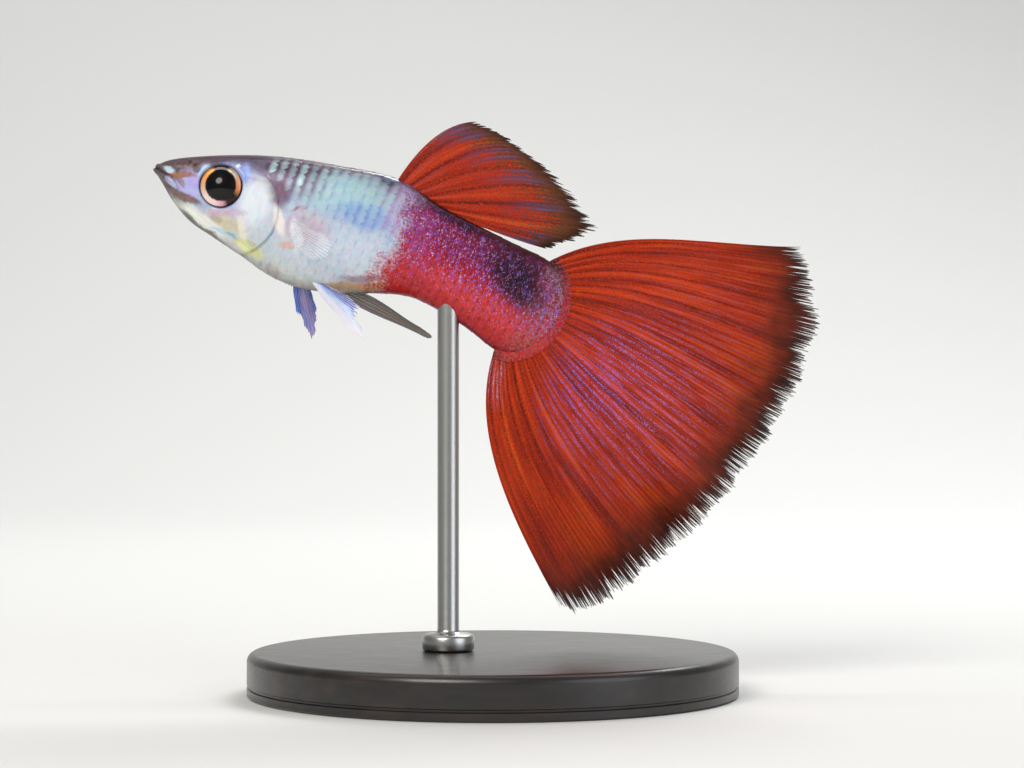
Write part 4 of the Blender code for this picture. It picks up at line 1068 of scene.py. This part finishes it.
dorsal_finish = fin_material("red_back_fin_membrane", {
    "rays": BACK_RAYS, "grain": 10, "line": "#3a0a06",
    "ramp": ((0.32, "#7a1608"), (0.46, "#a4200c"), (0.58, "#be3212"), (0.74, "#c85420")),
    "bands": (
        ("#564e6e", 0.3, 0.8, 0.56, 0.44, 0.9),
        ("#a8702c", 0.35, 0.95, 0.46, 0.6, 0.85),
        ("#4a3828", 0.4, 0.95, 0.4, 0.5, 0.9),
    ),
    "streaks": (("#f2d8c8", (0.0, 0.3), (0.02, 0.6), 1.0),),
    "edge": {"brown": "#5e3216", "code": "#1e140e", "from": 0.98, "to": 1.22, "uneven": 0.26},
})
spread_fin("back_membrane", dorsal_shape(), 256, 80, dorsal_finish, "red_fin", "dorsal_fin")

# The breast and belly fins and the male's anal fin: small, thin and nearly clear, with pale rays. The belly
# fins are milky blue, deep blue at the rear, and the anal fin is a slim grey pointed organ.


def flank_at(x, z):
    """The skin's half width at a place of the side view."""
    low, high = 0.0, 1.0
    for _ in range(40):
        share = (low + high) / 2
        ahead = (Vector((x, 0, z)) - axis_point(share)).dot(along_axis(share))
        low, high = (share, high) if ahead > 0 else (low, share)
    height = (Vector((x, 0, z)) - axis_point(share)).dot(above_axis(share))
    half, widest, back, belly, above, below = section(share)
    square = above if height > widest else below
    reach = (back - widest) if height > widest else (belly + widest)
    return half * (1 - min(abs(height - widest) / reach, 1) ** square) ** (1 / square)


def paired_shape(side, first, last, reach, pitch, splay, bow, rays, forks, seed, fray):
    """A fan that leaves the skin between two side-view points in millimetres, as in the CAD."""

    def at_skin(u):
        x, z = (first[0] + (last[0] - first[0]) * u) * MM, (first[1] + (last[1] - first[1]) * u) * MM
        return Vector((x, side * flank_at(x, z), z))

    def heading(u):
        ahead = direction(pitch(u)) * math.cos(math.radians(splay))
        ahead.y = side * math.sin(math.radians(splay))
        return ahead

    return {
        "root": lambda u: at_skin(u) - heading(u) * 0.3 * MM,
        "tip": lambda u: at_skin(0.5) + heading(u) * reach(u) * MM,
        "lateral": lambda u, v: side * bow * MM * np.sin(math.pi * v),
        "leaves": pitch, "ends": pitch, "pull": 0.34, "seed": seed,
        "rays": rays, "forks": forks, "fray": fray, "membrane": 0.04, "ray": 0.1,
    }


def clear_fin_material(name, count, stops, line, solid, clear, bands=0.0):
    """Thin clear fin skin: faint colour that gathers on its rays and their joints, and a wet gloss."""
    made, tree, shader = new_material(
        name, {"Roughness": 0.3, "IOR": 1.4, "Coat Weight": 0.4, "Coat Roughness": 0.12, "Coat IOR": 1.34}
    )
    rays = add(tree, "UVMap", {"uv_map": "rays"})
    parts = add(tree, "SeparateXYZ", {0: rays})
    stretched = add(tree, "Mapping", {"Scale": (1, 0.08, 1), "Vector": rays})
    fine = add(tree, "TexNoise", {"Scale": 26, "Detail": 3, "Roughness": 0.6, "Vector": stretched})
    wide = add(tree, "TexNoise", {"Scale": 5, "Detail": 2, "Vector": rays})
    level = add(tree, "Math", {"operation": "MULTIPLY_ADD", 0: wide, 1: 0.5, 2: parts})
    shifted = add(tree, "Math", {"operation": "SUBTRACT", 0: level, 1: 0.25})
    # Fine strands, the rays, and the joints across them
    waves = add(tree, "Math", {"operation": "MULTIPLY", 0: parts.outputs[1], 1: 220.0})
    joints = add(tree, "Math", {"operation": "SINE", 0: waves})
    gaps = ray_gaps(tree, parts.outputs[0], count, 0.42)
    strand = add(tree, "MapRange", {"From Min": 0.5, "From Max": 0.62, "To Max": 0.5, "Value": fine})
    for low, high, most, value in ((0.25, 0.0, 0.9, gaps), (0.2, 0.8, bands, joints)):
        shown = add(tree, "MapRange", {"From Min": low, "From Max": high, "To Max": most, "Value": value})
        strand = add(tree, "Math", {"operation": "MAXIMUM", 0: strand, 1: shown})
    colour = add(tree, "ValToRGB", {"stops": stops, "Fac": shifted})
    give(shader, {
        "Base Color": tint(tree, colour, line, strand),
        "Alpha": add(tree, "MapRange", {"To Min": clear, "To Max": solid, "Value": strand}),
        "Normal": add(tree, "Bump", {"Strength": 0.3, "Distance": 0.02 * MM, "Height": fine}),
    })
    return made


glass = ((0.0, "#dcdfe8"), (1.0, "#d4dce8"))
milk = ((0.0, "#f4e6f0"), (0.3, "#dfe6fa"), (0.5, "#92b2ee"), (0.68, "#3c58cc"), (0.9, "#141f6a"))
ink = ((0.0, "#5a78dc"), (0.25, "#22348e"), (0.5, "#a88cb0"), (0.7, "#8f7aa8"), (0.9, "#24359a"))
smoke = ((0.0, "#6a6478"), (0.35, "#8a7a68"), (0.7, "#776a60"), (1.0, "#4a4240"))
glassy = clear_fin_material("clear_breast_fin", 13, glass, "#f4f4f8", 0.55, 0.1)
milky = clear_fin_material("milky_blue_belly_fin", 12, milk, "#e8ecff", 1.0, 0.9)
inky = clear_fin_material("deep_blue_belly_fin", 12, ink, "#8fa4f0", 1.0, 0.9)
grey = clear_fin_material("grey_anal_fin", 6, smoke, "#40342c", 0.92, 0.62, 0.8)

breast_root = ((-13.75, 32.7), (-13.9, 31.3))
reach = smooth_through((0, 3.6), (0.3, 4.5), (0.7, 4.4), (1, 3.2))
left = paired_shape(-1, *breast_root, reach, smooth_through((0, 10), (1, 58)), 42, 0.35, 13, 2, 11, 0.04)
right = paired_shape(1, *breast_root, reach, smooth_through((0, 82), (1, 122)), 36, 0.35, 13, 2, 12, 0.04)
spread_fin("breast_fin_left", left, 110, 34, glassy, "clear_fin", "pectoral_fin_left")
spread_fin("breast_fin_right", right, 110, 34, glassy, "clear_fin", "pectoral_fin_right")

reach = smooth_through((0, 5.6), (0.18, 6.4), (0.4, 4.4), (0.62, 4.3), (0.85, 3.9), (1, 3.0))
slope = smooth_through((0, 54), (1, 24))
left = paired_shape(-1, (-12.5, 28.5), (-11.7, 28.4), reach, slope, 22, 0.15, 6, 4, 21, 0.16)
spread_fin("belly_fin_left", left, 140, 40, milky, "pale_fin", "pelvic_fin_left")
reach = smooth_through((0, 2.4), (0.25, 2.9), (0.5, 4.6), (0.7, 3.4), (0.85, 2.6), (1, 2.0))
slope = smooth_through((0, 103), (1, 56))
right = paired_shape(1, (-13.9, 28.45), (-12.8, 28.3), reach, slope, 22, 0.15, 6, 4, 22, 0.16)
spread_fin("belly_fin_right", right, 140, 40, inky, "pale_fin", "pelvic_fin_right")


def anal_shape():
    reach = smooth_through((0, 6.5), (0.3, 6.9), (0.65, 6.6), (1, 5.9))

    def at_skin(u):
        share = 0.49 + 0.05 * u
        return axis_point(share) - above_axis(share) * BELLY(share) * MM

    return {
        "root": lambda u: at_skin(u) + above_axis(0.5) * 0.25 * MM,
        "tip": lambda u: at_skin(0.5) - above_axis(0.5) * 0.3 * MM + direction(25.5 - 5 * u) * reach(u) * MM,
        "lateral": lambda u, v: 0 * v,
        "leaves": smooth_through((0, 42), (1, 14)), "ends": smooth_through((0, 30), (1, 26)), "pull": 0.34,
        "seed": 31, "rays": 6, "forks": 2, "fray": 0.03, "membrane": 0.12, "ray": 0.14,
    }


spread_fin("anal_organ", anal_shape(), 60, 50, grey, "clear_fin", "anal_fin")

# The studio: a sweep of pale matt paper that lies under the model and rises behind it in one curve. Large
# soft lamps light it: the key from the front left, a fill from the right, a rim light from behind and a
# wash on the paper.

sweep = bpy.data.meshes.new("sweep")
outline = [(-0.9, 0.0), (0.25, 0.0)]
bend = [math.radians(degrees) for degrees in range(6, 91, 6)]
outline += [(0.25 + 0.25 * math.sin(turn), 0.25 - 0.25 * math.cos(turn)) for turn in bend]
outline += [(0.5, 1.2)]
points = [(x, y, z - 0.00002) for y, z in outline for x in (-1.5, 1.5)]
sweep.from_pydata(points, [], [(2 * i, 2 * i + 1, 2 * i + 3, 2 * i + 2) for i in range(len(outline) - 1)])
sweep.materials.append(new_material("pale_sweep", {"Base Color": "#e4e4e2", "Roughness": 0.9})[0])
sweep.shade_smooth()
backdrop = bpy.data.objects.new("sweep", sweep)
bpy.context.scene.collection.objects.link(backdrop)


def soft_lamp(name, place, size, watts, code, aim=(0, 0, 0.024)):
    lamp = bpy.data.lights.new(name, "AREA")
    lamp.shape = "ELLIPSE"
    lamp.size, lamp.size_y = size
    lamp.energy = watts
    lamp.color = linear(code)[:3]
    made = bpy.data.objects.new(name, lamp)
    made.location = place
    made.rotation_euler = (Vector(aim) - Vector(place)).to_track_quat("-Z", "Y").to_euler()
    bpy.context.scene.collection.objects.link(made)


soft_lamp("key", (-0.16, -0.3, 0.26), (0.22, 0.22), 1.1, "#fffaf2")
soft_lamp("fill", (0.32, -0.22, 0.14), (0.3, 0.3), 0.45, "#f2f6ff")
soft_lamp("rim", (0.12, 0.24, 0.3), (0.25, 0.15), 0.8, "#ffffff")
soft_lamp("backdrop_wash", (0, 0.1, 0.45), (0.8, 0.2), 0.9, "#ffffff", (0, 0.5, 0.12))

world = bpy.data.worlds.new("studio")
world.use_nodes = True
give(world.node_tree.nodes["Background"], {"Color": "#e8ebef", "Strength": 0.28})
bpy.context.scene.world = world

# The camera looks level at the left flank, as the photograph does, from the height of the picture's
# middle. Its distance makes one pixel of the picture 0.0693 mm at the fish's middle plane.

PIXEL = 0.0693 * MM
WIDTH, HEIGHT = 1024, 768
ORIGIN_ACROSS, FLOOR_DOWN = 493, 694  # where the picture shows the origin, in its pixels
LENS, SENSOR = 100, 36

camera_data = bpy.data.cameras.new("camera")
camera_data.lens = LENS
camera_data.sensor_width = SENSOR
camera_data.clip_start, camera_data.clip_end = 0.01, 10
camera = bpy.data.objects.new("camera", camera_data)
view_x, view_z = (WIDTH / 2 - ORIGIN_ACROSS) * PIXEL, (FLOOR_DOWN - HEIGHT / 2) * PIXEL
camera.location = (view_x, -WIDTH * PIXEL * LENS / SENSOR, view_z)
camera.rotation_euler = (math.radians(90), 0, 0)
bpy.context.scene.collection.objects.link(camera)
bpy.context.scene.camera = camera
bpy.context.scene.view_settings.view_transform = "Standard"
